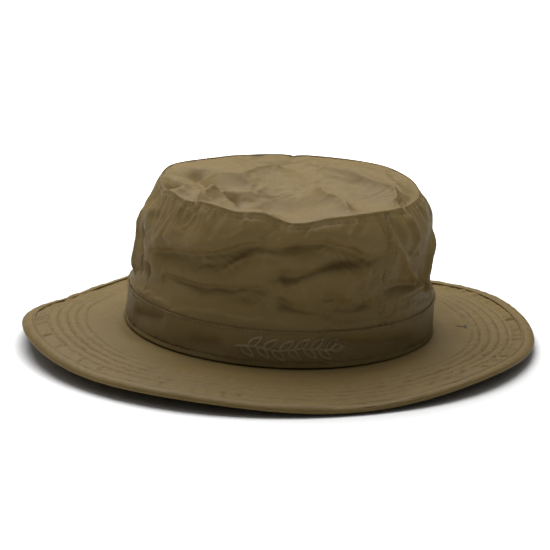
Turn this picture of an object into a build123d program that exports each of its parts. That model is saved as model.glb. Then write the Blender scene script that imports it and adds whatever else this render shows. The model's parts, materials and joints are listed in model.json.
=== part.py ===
from build123d import *
import os
from math import atan2, cos, degrees, exp, hypot, log, radians, sin, tan

os.makedirs("parts", exist_ok=True)

# A soft boonie hat that stands on its brim, its crown leaning a little to one side.
# The origin is the centre of the brim's footprint, on the surface that it stands on, +Z up.
# The hat's front faces -Y and the wearer's left side faces +X. Millimetres and degrees.

# ---- Driving dimensions: the crown ----
band_semi_x = 92.0        # outer face of the hatband at the brim seam
band_semi_y = 99.5
crown_height = 90.0       # from the brim seam up to the rim of the crown's tip
tip_ratio = 0.843         # size of the tip's oval over the seam's oval
shoulder_power = 2.8      # how late the wall curves in towards the tip
tip_rise = 3.0            # how far the tip bulges above its rim
seam_height = 13.4        # centre of the brim seam, above the surface
lean_angle = 3.0          # tilt of the crown
lean_heading = 23.5       # the way it tilts, counted from +X towards +Y
band_height = 23.0
sweatband_height = 32.0

# ---- Driving dimensions: the brim ----
brim_width = 64.0
brim_bend = 0.12          # share of the width in which the brim leaves the seam's plane
brim_waves = (            # waves round the whole edge, their height and the heading of a crest
    (1, 1.3, 246.0),
    (2, 1.8, 68.0),
    (3, 2.0, 24.0),
    (4, 1.6, 67.0),
    (5, 2.4, 12.6),
)
binding_width = 8.0
first_row = 16.0          # edge to the outermost of the stitch rows that run round the brim
row_pitch = 5.9
row_count = 5

# ---- Driving dimensions: cloth, thread and gaps ----
shell_ply = 0.8
band_ply = 1.0
tape_ply = 0.5
sweatband_ply = 0.8
skin_ply = 0.6
core_ply = 1.0
binding_ply = 0.5
thread = 0.5              # how far a row of stitches stands off its cloth
thread_width = 0.7
gap = 0.2                 # between neighbouring layers of cloth

# ---- Driving dimensions: small pieces ----
tape_height = 9.0
tape_width = 12.0
twin_needle_gap = 3.7
lap_gap = 0.3             # between the front and the back panel at a side seam
label_width = 32.0
label_bottom = 3.0
label_top = 27.0
label_ply = 0.5
label_clearance = 0.4
label_margin = 1.6        # from the line where the label bends up to its row of stitches
motif_heading = -37.0
motif_height = 12.0       # middle of the embroidery above the brim seam
motif_length = 66.0
leaf_pairs = 6
leaf_length = 9.0
leaf_width = 3.4
leaf_rise = 3.0
leaf_angle = 32.0
tack_heading = 55.8
tack_setback = 42.0
tack_length = 6.0

# ---- Worked out from them ----
hat_base = Plane(
    Location(
        (0, 0, seam_height),
        (-sin(radians(lean_heading)), cos(radians(lean_heading)), 0),
        lean_angle,
    )
)
edge_semi_x = band_semi_x + brim_width
edge_semi_y = band_semi_y + brim_width

wall_inset = band_ply + gap                       # insets are measured from the hatband's outer face
tape_inset = wall_inset + shell_ply + gap
sweatband_inset = tape_inset + tape_ply + gap
sweatband_inner = sweatband_inset + sweatband_ply
brim_hole_inset = wall_inset + shell_ply

skin_depth = skin_ply + gap                       # depths are measured down from the brim's top face
core_depth = skin_depth + core_ply + gap
underside_depth = core_depth + skin_ply
binding_depth = underside_depth + gap + binding_ply

wall_sections = 5
brim_grid = 18.0
full_turn = 360
reach = 250.0                                     # longer than any piece, for cutting tools


def crown_ratio(height):
    """Size of the crown's oval at a height above the seam, over its size at the seam."""
    return 1 - (1 - tip_ratio) * (height / crown_height) ** shoulder_power


def crown_solid(bottom, top, inset, mode=Mode.ADD):
    """Solid that follows the crown's wall between two heights above the brim seam."""
    sections = []
    for step in range(wall_sections):
        height = bottom + (top - bottom) * step / (wall_sections - 1)
        ratio = crown_ratio(max(height, 0))
        with BuildSketch(hat_base.offset(height)) as oval:
            Ellipse(band_semi_x * ratio - inset, band_semi_y * ratio - inset)
        sections.append(oval.sketch)
    loft(sections, mode=mode)


def crown_ring(bottom, top, outer_inset, thickness):
    """Ring of cloth that follows the crown's wall."""
    crown_solid(bottom, top, outer_inset)
    crown_solid(bottom, top, outer_inset + thickness, Mode.SUBTRACT)


def oval_radius(semi_x, semi_y, heading):
    """Distance from an oval's centre to its edge, in a direction given in radians."""
    return 1 / hypot(cos(heading) / semi_x, sin(heading) / semi_y)


def edge_wave(heading):
    """Rise of the brim's edge from its waves, at a heading in degrees."""
    return sum(size * cos(radians(count * (heading - crest))) for count, size, crest in brim_waves)


edge_lift = -min(edge_wave(heading) for heading in range(full_turn))


def brim_top_height(x, y):
    """Height of the brim's top face: the leaning seam's plane that turns into the wavy edge."""
    turn = atan2(y, x)
    seam = oval_radius(band_semi_x, band_semi_y, turn)
    edge = oval_radius(edge_semi_x, edge_semi_y, turn)
    share = brim_bend * log(1 + exp((hypot(x, y) - seam) / (edge - seam) / brim_bend))
    downhill = x * cos(radians(lean_heading)) + y * sin(radians(lean_heading))
    seam_plane = seam_height - tan(radians(lean_angle)) * downhill
    heading = degrees(atan2(y / edge_semi_y, x / edge_semi_x))
    return (1 - share) * seam_plane + share * (edge_lift + edge_wave(heading) + binding_depth)


steps_x = round(edge_semi_x / brim_grid) + 1
steps_y = round(edge_semi_y / brim_grid) + 1
brim_sheet = Face.make_surface_from_array_of_points(
    [
        [
            (step_x * brim_grid, step_y * brim_grid, brim_top_height(step_x * brim_grid, step_y * brim_grid))
            for step_x in range(-steps_x, steps_x + 1)
        ]
        for step_y in range(-steps_y, steps_y + 1)
    ]
)


def brim_slab(depth, thickness, mode=Mode.ADD):
    """Layer that follows the brim's shape, its upper face at a depth below the brim's top."""
    lower_face = brim_sheet.moved(Location((0, 0, -depth - thickness)))
    extrude(to_extrude=lower_face, amount=thickness, dir=(0, 0, 1), mode=mode)


def keep_brim_rings(width, *setbacks):
    """Keeps the oval rings of a layer that start at the setbacks from the brim's edge, outermost first."""
    with BuildSketch(Plane.XY.offset(-reach)) as rings:
        for setback in setbacks:
            inner = setback + width
            Ellipse(edge_semi_x - setback, edge_semi_y - setback)
            Ellipse(edge_semi_x - inner, edge_semi_y - inner, mode=Mode.SUBTRACT)
    extrude(rings.sketch, amount=2 * reach, mode=Mode.INTERSECT)


def outward_plane(heading, height):
    """Upright plane through the crown's axis that faces out of the hat at a heading."""
    turn = radians(heading)
    face_out = Plane(origin=(0, 0, height), x_dir=(-sin(turn), cos(turn), 0), z_dir=(cos(turn), sin(turn), 0))
    return Plane(hat_base.location * face_out.location)


# ---- Crown ----
wall_bottom = 2 * gap
wall_top = crown_height - shell_ply - 2 * gap
with BuildPart() as crown_side_front:
    crown_ring(wall_bottom, wall_top, wall_inset, shell_ply)
    split(bisect_by=Plane(hat_base.location * Plane.XZ.offset(lap_gap / 2).location), keep=Keep.TOP)

with BuildPart() as crown_side_back:
    crown_ring(wall_bottom, wall_top, wall_inset, shell_ply)
    split(bisect_by=Plane(hat_base.location * Plane.XZ.offset(-lap_gap / 2).location), keep=Keep.BOTTOM)

tip_semi_x = band_semi_x * tip_ratio - wall_inset
tip_semi_y = band_semi_y * tip_ratio - wall_inset
dome_radius = (tip_semi_y**2 + tip_rise**2) / (2 * tip_rise)
with BuildPart() as crown_tip:
    with BuildSketch(hat_base.offset(crown_height - tip_rise)):
        Ellipse(tip_semi_x, tip_semi_y)
    extrude(amount=3 * tip_rise)
    with Locations(hat_base.offset(crown_height + tip_rise - dome_radius)):
        Sphere(dome_radius, mode=Mode.INTERSECT)
        Sphere(dome_radius - shell_ply, mode=Mode.SUBTRACT)

with BuildPart() as tip_seam_tape:
    crown_ring(wall_top - tape_height, wall_top - gap, tape_inset, tape_ply)

with BuildPart() as side_seam_tapes:
    crown_ring(5 * gap, wall_top - tape_height - gap, tape_inset, tape_ply)
    with BuildSketch(hat_base.offset(-reach)):
        Rectangle(reach, tape_width)
    extrude(amount=2 * reach, mode=Mode.INTERSECT)

with BuildPart() as hatband:
    crown_ring(wall_bottom, band_height, 0, band_ply)

with BuildPart() as sweatband:
    crown_ring(-underside_depth, sweatband_height, sweatband_inset, sweatband_ply)

# ---- Brim ----
ply_setback = binding_ply + gap
ply_width = brim_width - ply_setback + brim_hole_inset
with BuildPart() as brim_top:
    brim_slab(0, skin_ply)
    keep_brim_rings(ply_width, ply_setback)

with BuildPart() as brim_interlining:
    brim_slab(skin_depth, core_ply)
    keep_brim_rings(ply_width, ply_setback)

with BuildPart() as brim_underside:
    brim_slab(core_depth, skin_ply)
    keep_brim_rings(ply_width, ply_setback)

with BuildPart() as binding_filling:
    brim_slab(-gap, underside_depth + 2 * gap)
    keep_brim_rings(2 * binding_width, binding_ply)

with BuildPart() as brim_binding:
    brim_slab(-gap - binding_ply, binding_depth + gap + binding_ply)
    keep_brim_rings(binding_width, 0)
    add(binding_filling.part, mode=Mode.SUBTRACT)

# ---- Rows of stitches ----
with BuildPart() as tip_topstitch:
    crown_ring(wall_top - 4 * thread_width, wall_top - 3 * thread_width, wall_inset - gap - thread, thread)

with BuildPart() as side_seam_stitching:
    crown_ring(band_height + 2 * gap, wall_top - 5 * thread_width, wall_inset - gap - thread, thread)
    with BuildSketch(hat_base.offset(-reach)):
        with GridLocations(0, twin_needle_gap, 1, 2):
            Rectangle(reach, thread_width)
    extrude(amount=2 * reach, mode=Mode.INTERSECT)

with BuildPart() as hatband_upper_stitching:
    crown_ring(band_height - 3 * thread_width, band_height - 2 * thread_width, -gap - thread, thread)

with BuildPart() as hatband_lower_stitching:
    crown_ring(4 * thread_width, 5 * thread_width, -gap - thread, thread)

row_setbacks = [first_row + row * row_pitch for row in range(row_count)]
with BuildPart() as brim_stitch_rows:
    brim_slab(-gap - thread, thread)
    keep_brim_rings(thread_width, *row_setbacks)

with BuildPart() as binding_stitching:
    brim_slab(-2 * gap - binding_ply - thread, thread)
    keep_brim_rings(thread_width, binding_width - 2 * thread_width)

with BuildPart() as sweatband_stitching:
    for bottom in (2 * thread_width, sweatband_height - 3 * thread_width):
        crown_ring(bottom, bottom + thread_width, sweatband_inner + gap, thread)

tack_turn = radians(tack_heading)
tack_radius = oval_radius(edge_semi_x, edge_semi_y, tack_turn) - tack_setback
with BuildPart() as bar_tack:
    brim_slab(-gap - thread, thread)
    with BuildSketch(Plane.XY.offset(-reach)):
        with Locations(Location((tack_radius * cos(tack_turn), tack_radius * sin(tack_turn)), tack_heading)):
            Rectangle(tack_length, thread_width, align=(Align.MAX, Align.CENTER))
            Rectangle(thread_width, tack_length)
    extrude(amount=2 * reach, mode=Mode.INTERSECT)

# ---- Embroidery: a plain sprig of leaves on the hatband ----
with BuildPart() as embroidery_motif:
    crown_ring(wall_bottom, band_height, -gap - thread, thread)
    with BuildSketch(outward_plane(motif_heading, motif_height)):
        SlotOverall(motif_length, 2 * thread_width)
        for side in (1, -1):
            with GridLocations(motif_length / (leaf_pairs + 1), 0, leaf_pairs, 1):
                with Locations((leaf_length / 2, side * leaf_rise)):
                    Ellipse(leaf_length / 2, leaf_width / 2, rotation=side * leaf_angle)
    extrude(amount=reach, mode=Mode.INTERSECT)

# ---- Care label: blank, sewn along its top edge inside the back of the sweatband ----
label_corner = label_width / 2
inner_semi_x = band_semi_x * crown_ratio(label_top) - sweatband_inner
inner_semi_y = band_semi_y * crown_ratio(label_top) - sweatband_inner
label_face = inner_semi_y * (1 - (label_corner / inner_semi_x) ** 2) ** 0.5 - label_clearance
label_middle = label_face - label_ply / 2
with BuildPart() as care_label:
    with BuildSketch(hat_base.offset(label_bottom)):
        with Locations((0, label_middle)):
            Rectangle(label_width, label_ply)
    extrude(amount=label_top - label_bottom)

with BuildPart() as label_stitching:
    with BuildSketch(hat_base.offset(label_top + label_margin)):
        with Locations((0, label_middle)):
            Rectangle(label_width - 2 * thread_width, label_ply)
    extrude(amount=thread_width)

pieces = {
    "crown_tip": crown_tip,
    "crown_side_front": crown_side_front,
    "crown_side_back": crown_side_back,
    "hatband": hatband,
    "brim_top": brim_top,
    "brim_interlining": brim_interlining,
    "brim_underside": brim_underside,
    "brim_binding": brim_binding,
    "sweatband": sweatband,
    "tip_seam_tape": tip_seam_tape,
    "side_seam_tapes": side_seam_tapes,
    "care_label": care_label,
    "label_stitching": label_stitching,
    "tip_topstitch": tip_topstitch,
    "side_seam_stitching": side_seam_stitching,
    "hatband_upper_stitching": hatband_upper_stitching,
    "hatband_lower_stitching": hatband_lower_stitching,
    "brim_stitch_rows": brim_stitch_rows,
    "binding_stitching": binding_stitching,
    "sweatband_stitching": sweatband_stitching,
    "bar_tack": bar_tack,
    "embroidery_motif": embroidery_motif,
}
for name, piece in pieces.items():
    piece.part.label = name
    export_step(piece.part, f"parts/{name}.step")

# The label's hinge and the crown's axis, for the mounts and the joint
label_hinge = hat_base.from_local_coords((0, label_middle, label_top))
print("seam centre", hat_base.origin, "crown axis", hat_base.z_dir, "side axis", hat_base.x_dir)
print("label hinge", label_hinge)
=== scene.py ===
import json
import math

import bpy
import numpy as np
from mathutils import Matrix, Vector


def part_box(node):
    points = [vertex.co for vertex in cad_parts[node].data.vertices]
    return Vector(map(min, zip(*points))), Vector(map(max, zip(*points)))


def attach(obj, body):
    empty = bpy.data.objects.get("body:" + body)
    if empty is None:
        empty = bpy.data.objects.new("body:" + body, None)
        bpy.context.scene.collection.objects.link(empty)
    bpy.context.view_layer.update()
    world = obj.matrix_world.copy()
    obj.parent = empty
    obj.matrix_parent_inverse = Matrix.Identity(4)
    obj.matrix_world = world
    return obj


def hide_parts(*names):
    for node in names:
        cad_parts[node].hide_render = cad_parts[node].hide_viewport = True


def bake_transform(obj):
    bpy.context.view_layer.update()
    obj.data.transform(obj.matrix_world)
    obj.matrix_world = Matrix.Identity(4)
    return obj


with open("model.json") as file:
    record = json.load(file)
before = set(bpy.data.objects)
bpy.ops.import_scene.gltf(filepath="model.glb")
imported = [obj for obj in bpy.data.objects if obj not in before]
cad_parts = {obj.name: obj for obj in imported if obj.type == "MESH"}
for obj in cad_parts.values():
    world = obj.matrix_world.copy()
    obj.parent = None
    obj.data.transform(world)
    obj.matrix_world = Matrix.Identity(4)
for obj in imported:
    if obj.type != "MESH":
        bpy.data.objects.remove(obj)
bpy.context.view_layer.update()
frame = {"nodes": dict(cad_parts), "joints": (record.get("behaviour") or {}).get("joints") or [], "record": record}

# A soft olive boonie hat that stands on its brim. Metres; MM turns millimetres into metres.
# Places on the crown are given in the hat's own frame: the angle round the crown in degrees
# (0 is the wearer's left, +X, and -90 the front, -Y) and the height above the brim seam.
MM = 0.001

# ---- Measures of the hat ----
CROWN_HEIGHT = 90 * MM
TIP_RATIO = 0.843
SHOULDER_POWER = 7.0      # how late the wall curves in towards the tip, on average
SHOULDER_SWING = 1.2      # how much fuller the shoulder is on one side
SHOULDER_HEADING = math.radians(47)
TIP_RISE = 1.2 * MM
WAIST = 0.026             # how much the wall draws in just above the hatband
WAIST_RISE = 13 * MM
BAND_HEIGHT = 23 * MM
SWEATBAND_HEIGHT = 32 * MM
HATBAND_FACES = (0.0, -1.0)             # outer and inner face, mm out from the hatband's outer face
SWEATBAND_FACES = (-2.9, -3.7)
WALL_INSET = 1.2 * MM
CLOTH = 0.5 * MM
LAP_DEPTH = 0.35 * MM     # how far the front panel sinks under the back panel
TIP_STITCH = 3 * MM       # tip's seam down to its topstitching
TIP_RIPPLES = 170         # puckers round the edge of the tip
RIM_SINK = 0.2 * MM       # the tip's edge lies this far below the wall's top
SIDE_ROWS = (1.1 * MM, 4.8 * MM)        # folded edge of a side seam to its two rows of stitches
BAND_ROWS = (3.1 * MM, BAND_HEIGHT - 1.3 * MM)
SWEATBAND_ROWS = (1.3 * MM, SWEATBAND_HEIGHT - 1.8 * MM)
TAPE_HEIGHT = 9 * MM
TAPE_WIDTH = 12 * MM
TAPE_THICKNESS = 0.35 * MM
TIP_TAPE_GAP = 0.75 * MM  # between the cloth and the tape over the tip's seam
SIDE_TAPE_GAP = 0.85 * MM
TAPE_BULGE = 0.25 * MM    # how far a tape's middle stands off the cloth
LABEL_WIDTH = 32 * MM
LABEL_BOTTOM = 3 * MM
LABEL_HINGE = 27 * MM
LABEL_TOP = 30.2 * MM
LABEL_STITCHES = 29 * MM
LABEL_THICKNESS = 0.25 * MM

BRIM_WIDTH = 64 * MM
BRIM_PLIES = 2.6 * MM     # both cloths with the interlining between them
BRIM_PLY = 0.55 * MM
BRIM_BEND = 0.12          # share of the width in which the brim leaves the seam's plane
# waves round the whole edge: count, mm, crest in degrees
BRIM_WAVES = ((1, 1.3, 246), (2, 1.8, 68), (3, 2.0, 24), (4, 1.6, 67), (5, 2.4, 12.6))
BRIM_INSET = 0.9 * MM     # the brim's cloths end this far inside the binding
BRIM_LAP = 2 * MM         # how far they run on under the crown
END_HEADINGS = (math.radians(35), math.radians(222))    # where the binding pulls its strongest ribs
END_SPREAD = math.radians(38)
BINDING_DEPTH = 3.3 * MM  # top of the brim's cloth down to the underside of the binding
ROW_SETBACKS = [(16 + 5.9 * row) * MM for row in range(5)]      # rows of stitches, in from the edge
ROW_PITCH = ROW_SETBACKS[1] - ROW_SETBACKS[0]
TACK_HEADING = math.radians(55.8)
TACK_SETBACK = 42 * MM
TACK_LENGTH = 6 * MM

STITCH_PITCH = 3.1 * MM
STITCH_LENGTH = 2.5 * MM
STITCH_WIDTH = 0.42 * MM
STITCH_SINK = -0.05 * MM  # stitches start just inside the cloth
THREAD_SIDES = 6
THREAD_RINGS = 5

# The sprig embroidered on the hatband
MOTIF_HEADING = math.radians(-37)
MOTIF_HEIGHT = 12 * MM
MOTIF_LENGTH = 66 * MM
LEAF_PAIRS = 6
LEAF_LENGTH = 10 * MM
LEAF_WIDTH = 3.8 * MM
LEAF_ANGLE = math.radians(38)
STROKE_WIDTH = 1.35 * MM
SATIN_THREAD = 0.2 * MM
SATIN_PITCH = 0.3 * MM

# ---- Height of the relief that is sewn and pressed into the cloth ----
TIP_SEAM_RIDGE = 0.3 * MM
TIP_SEAM_PINCH = 0.45 * MM      # groove right under the ridge
TIP_SEAM_GROOVE = 0.6 * MM      # groove of the topstitching
TIP_SEAM_PUCKER = 0.32 * MM
TIP_EDGE_SINK = 0.3 * MM
TIP_EDGE_RIPPLE = 0.28 * MM
SIDE_SEAM_GROOVE = 0.65 * MM
SIDE_SEAM_PUCKER = 0.45 * MM
SIDE_SEAM_FOLD = 0.25 * MM
HATBAND_GROOVE = 0.55 * MM
HATBAND_PUCKER = 0.24 * MM
HATBAND_SWELL = 0.35 * MM
SWEATBAND_GROOVE = 0.25 * MM
SWEATBAND_PUCKER = 0.2 * MM
SWEATBAND_SWELL = 0.3 * MM
BRIM_GROOVE = 0.85 * MM         # depth and width of the groove of each row of stitches
BRIM_QUILT = 0.45 * MM          # how far the cloth between the rows stands up
BRIM_PUCKER = 0.36 * MM
BRIM_RIB = 0.7 * MM             # ribs beside the binding
BRIM_SWELL = 0.5 * MM
BINDING_ROPE = 0.26 * MM
BINDING_SWELL = 0.2 * MM
SPRIG_ARCH = 0.5 * MM
TACK_ARCH = 0.2 * MM

# ---- Resolution of the cloth ----
TIP_CELLS = 72            # across the tip; four times this many columns go round the crown
WALL_CELLS = 44           # up the crown's wall
FINER = 3                 # each simulated cell becomes this many squared
BRIM_COLUMNS = 1200
BRIM_ROWS = 96
RING_COLUMNS = 720
LAP_COLUMNS = 14
SEAM_SEED = 21
WHOLE_TURN = 2 * math.pi

# ---- How the crown's cloth settles ----
SLACK = 0.008             # how much larger the cloth is than the shape it is held in
SETTLE_FRAMES = 12
WALL_FREEDOM = 0.84       # how much less firmly the free wall is held than the wall in the band
SEAM_HOLD = 0.3
TIP_HOLD = 0.16
HOLD_LEVELS = 25
MOST_MOVED = 6 * MM
CREASE_TAPER = 0.25       # share of a crease's length in which it fades at each end
CREASE_ROUND = 1.2 * MM   # rounding of a crease's bottom
PRESSED = 0.28            # share of each fold's depth pressed in again as a sharp crease
# seed, folds round the crown, height of a fold, depth
CRUMPLES = ((71, 30, 13 * MM, 0.95 * MM), (72, 64, 6.5 * MM, 0.4 * MM))
TIP_CRUMPLE_SIZE = 1.3    # how much wider the tip's crumples are than the wall's
TIP_CRUMPLE_DEPTH = 0.8   # and how deep as a share of the wall's
SWEATBAND_ROOM = 1.9 * MM  # how far inside the hatband's outer face the wall may sink beside the sweatband

# ---- Colours ----
OLIVE = (0.143, 0.0985, 0.0345)
OLIVE_DARK = (0.06, 0.041, 0.015)
SWEATBAND_KHAKI = (0.105, 0.086, 0.048)
TAPE_KHAKI = (0.12, 0.1, 0.055)
LABEL_CREAM = (0.62, 0.6, 0.52)
TOPSTITCH_TAN = (0.185, 0.134, 0.056)
EMBROIDERY_TAN = (0.24, 0.175, 0.078)
FELT_CREAM = (0.5, 0.48, 0.42)
SHEEN_TINT = (0.9, 0.85, 0.7, 1)
FLOOR_WHITE = (0.86, 0.86, 0.86)

# ---- Light and camera ----
TENT_HEADING = math.radians(47 + 110)   # behind the hat, a little to the camera's left
TENT_TILT = math.radians(18)
TENT_FOCUS = 3.0
TENT_STRENGTH = 0.7
TENT_BASE = 0.12
BOX_SIZE = 0.8
BOX_POWER = 7.8
BOX_HEIGHT = 0.62
BOX_BACK = 0.2

CAMERA_AZIMUTH = math.radians(47)
CAMERA_ELEVATION = math.radians(15.34)
CAMERA_ROLL = math.radians(1.593)
CAMERA_DISTANCE = 2.4
CAMERA_LENS = 252.36
AIM_HEIGHT = 0.050
AIM_RIGHT = -0.00371
AIM_UP = -0.00636

# ---- Wandering of the seams: height in mm and degrees round the crown ----
LEFT_SEAM = [(0, -1), (23, -1.5), (33, -1.2), (42, -0.3), (53, 0.4), (66, 1.8), (78, 3.6), (90, 5)]
RIGHT_SEAM = [(0, 1), (23, 0), (38, 2), (52, 1), (64, -2), (78, -3), (90, -2)]
SEAM_WINDOW = math.radians(26)          # a seam's wandering fades out over this angle to each side
# degrees round the crown and rise of the tip's seam in mm
RIM_WAVES = [
    (-100, 0), (-88, -1.5), (-78, 2.6), (-64, 0), (-52, 3.0), (-43, -2.6), (-33, -2.8), (-25, 0.5),
    (-8, 1.2), (10, 0.6), (20, -1.0), (35, -1.2), (50, -1.2), (64, -0.6), (90, 0.0), (120, -2.0),
    (150, -2.8), (180, -3.4), (205, -0.5), (232, 0.4),
]

# ---- Frame of the hat: it leans, so it has its own axes ----
opening = next(m for m in frame["record"]["mounts"] if m["name"] == "head_opening")
hat_origin = np.array(opening["pos_m"])
hat_up = -np.array(opening["axis"]) / np.linalg.norm(opening["axis"])
lean_axis = np.cross([0, 0, 1], hat_up)
lean_sine = np.linalg.norm(lean_axis)
lean_axis /= lean_sine
lean_cosine = hat_up[2]

edge_low, edge_high = (np.array(corner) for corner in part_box("brim_binding"))
EDGE_X, EDGE_Y = (edge_high - edge_low)[:2] / 2
SEAM_X = EDGE_X - BRIM_WIDTH
SEAM_Y = EDGE_Y - BRIM_WIDTH
MEAN_RADIUS = (SEAM_X + SEAM_Y) / 2
TURN = WHOLE_TURN * MEAN_RADIUS             # once round the hatband


def to_row(points):
    """Hat frame to the row's frame."""
    points = np.asarray(points, float)
    turned = (
        points * lean_cosine
        + np.cross(lean_axis, points) * lean_sine
        + (points @ lean_axis)[..., None] * lean_axis * (1 - lean_cosine)
    )
    return turned + hat_origin


def smooth_step(value):
    """0 below 0, 1 above 1, and an S-curve between."""
    value = np.clip(value, 0, 1)
    return value * value * (3 - 2 * value)


def even_angles(columns):
    """Equal steps round a whole turn."""
    return np.arange(columns) / columns * WHOLE_TURN


def stacked(*parts):
    """Values that fit one grid, side by side along a new last axis."""
    return np.stack(np.broadcast_arrays(*parts), axis=-1)


def bell(offset, width):
    """1 at no offset, falling away within about the width."""
    return np.exp(-((offset / width) ** 2))


def angle_apart(angles, middle):
    """Signed difference between angles, within half a turn."""
    return (angles - middle + math.pi) % WHOLE_TURN - math.pi


def refine(grid, factor, axis, closed):
    """Catmull-Rom interpolation of a grid of points along one axis."""
    grid = np.moveaxis(grid, axis, 0)
    count = len(grid)
    at = np.arange(count * factor if closed else (count - 1) * factor + 1) / factor
    cell = np.floor(at).astype(int)
    if not closed:
        cell = np.minimum(cell, count - 2)
    share = (at - cell).reshape(-1, *[1] * (grid.ndim - 1))

    def node(shift):
        index = cell + shift
        if closed:
            return grid[index % count]
        inside = grid[np.clip(index, 0, count - 1)]
        before = 2 * grid[0] - grid[1]
        after = 2 * grid[-1] - grid[-2]
        inside = np.where((index < 0).reshape(share.shape), before, inside)
        return np.where((index > count - 1).reshape(share.shape), after, inside)

    p0, p1, p2, p3 = (node(shift) for shift in (-1, 0, 1, 2))
    fine = 0.5 * (
        2 * p1
        + (p2 - p0) * share
        + (2 * p0 - 5 * p1 + 4 * p2 - p3) * share**2
        + (3 * p1 - p0 - 3 * p2 + p3) * share**3
    )
    return np.moveaxis(fine, 0, axis)


def normals_of(grid, closed):
    """Unit normals of a grid of points; columns run along axis 1."""
    if closed:
        along = np.roll(grid, -1, axis=1) - np.roll(grid, 1, axis=1)
    else:
        along = np.gradient(grid, axis=1)
    across = np.gradient(grid, axis=0)
    normal = np.cross(along, across)
    return normal / np.maximum(np.linalg.norm(normal, axis=2, keepdims=True), 1e-12)


def wrapped_noise(seed, columns, rows, knots, knot_rows):
    """Smooth noise of about unit size on a grid that closes round its columns."""
    rng = np.random.default_rng(seed)
    knot_values = rng.normal(size=(knot_rows + 1, knots, 1))
    at_rows = np.linspace(0, knot_rows, rows)
    at_columns = np.arange(columns) / columns * knots
    return bilinear(knot_values, at_rows[:, None], at_columns[None, :], eased=True)[..., 0]


def bilinear(grid, rows, columns, closed=True, eased=False):
    """Values of a grid at fractional rows and columns, eased between its points if asked."""
    low_row = np.clip(np.floor(rows).astype(int), 0, len(grid) - 2)
    low_column = np.floor(columns).astype(int)
    if not closed:
        low_column = np.clip(low_column, 0, grid.shape[1] - 2)
    row_share, column_share = rows - low_row, columns - low_column
    if eased:
        row_share, column_share = smooth_step(row_share), smooth_step(column_share)
    row_share, column_share = row_share[..., None], column_share[..., None]
    left, right = low_column % grid.shape[1], (low_column + 1) % grid.shape[1]
    lower = grid[low_row, left] * (1 - column_share) + grid[low_row, right] * column_share
    upper = grid[low_row + 1, left] * (1 - column_share) + grid[low_row + 1, right] * column_share
    return lower * (1 - row_share) + upper * row_share


def grid_faces(index, closed=False, closed_rows=False):
    """Quads of a grid of point numbers; they face along its columns' direction crossed with its rows'."""
    if closed:
        index = np.concatenate([index, index[:, :1]], axis=1)
    if closed_rows:
        index = np.concatenate([index, index[:1]], axis=0)
    corners = (index[:-1, :-1], index[:-1, 1:], index[1:, 1:], index[1:, :-1])
    return np.stack(corners, axis=-1).reshape(-1, 4)


# ---- Folds: soft creases laid along short routes ----
def offset_from(places, start, turn_length):
    """Offsets from a point; the shorter way round where the first axis closes on itself."""
    offset = places - np.array(start)
    if turn_length:
        offset[..., 0] = (offset[..., 0] + turn_length / 2) % turn_length - turn_length / 2
    return offset


def crease(places, route, depth, left, right, round_off, turn_length):
    """Displacement of a crease along a route; left and right are how far it reaches to each side."""
    route = np.array(route, float)
    lengths = np.linalg.norm(np.diff(route, axis=0), axis=1)
    starts = np.concatenate([[0], np.cumsum(lengths)])
    nearest = np.full(places.shape[:-1], np.inf)
    side = np.zeros_like(nearest)
    along = np.zeros_like(nearest)
    for start, end, length, before in zip(route[:-1], route[1:], lengths, starts):
        offset = offset_from(places, start, turn_length)
        heading = (end - start) / length
        run = np.clip(offset @ heading, 0, length)
        gap = offset - run[..., None] * heading
        distance = np.linalg.norm(gap, axis=-1)
        closer = distance < nearest
        nearest = np.where(closer, distance, nearest)
        side = np.where(closer, heading[0] * offset[..., 1] - heading[1] * offset[..., 0], side)
        along = np.where(closer, before + run, along)
    reach = np.where(side > 0, left, right)
    profile = np.exp(-(np.sqrt(nearest**2 + round_off**2) - round_off) / reach)
    share = along / starts[-1]
    fade = smooth_step(share / CREASE_TAPER) * smooth_step((1 - share) / CREASE_TAPER)
    return depth * profile * fade


def dent(places, centre, radii, depth, turn_length):
    """Displacement of a broad oval hollow or bulge."""
    offset = offset_from(places, centre, turn_length)
    return depth * np.exp(-((offset / np.array(radii)) ** 2).sum(-1))


def on_wall(route):
    """(degrees, mm) to distances along and up the wall."""
    return [(math.radians(angle) * MEAN_RADIUS, height * MM) for angle, height in route]


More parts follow.
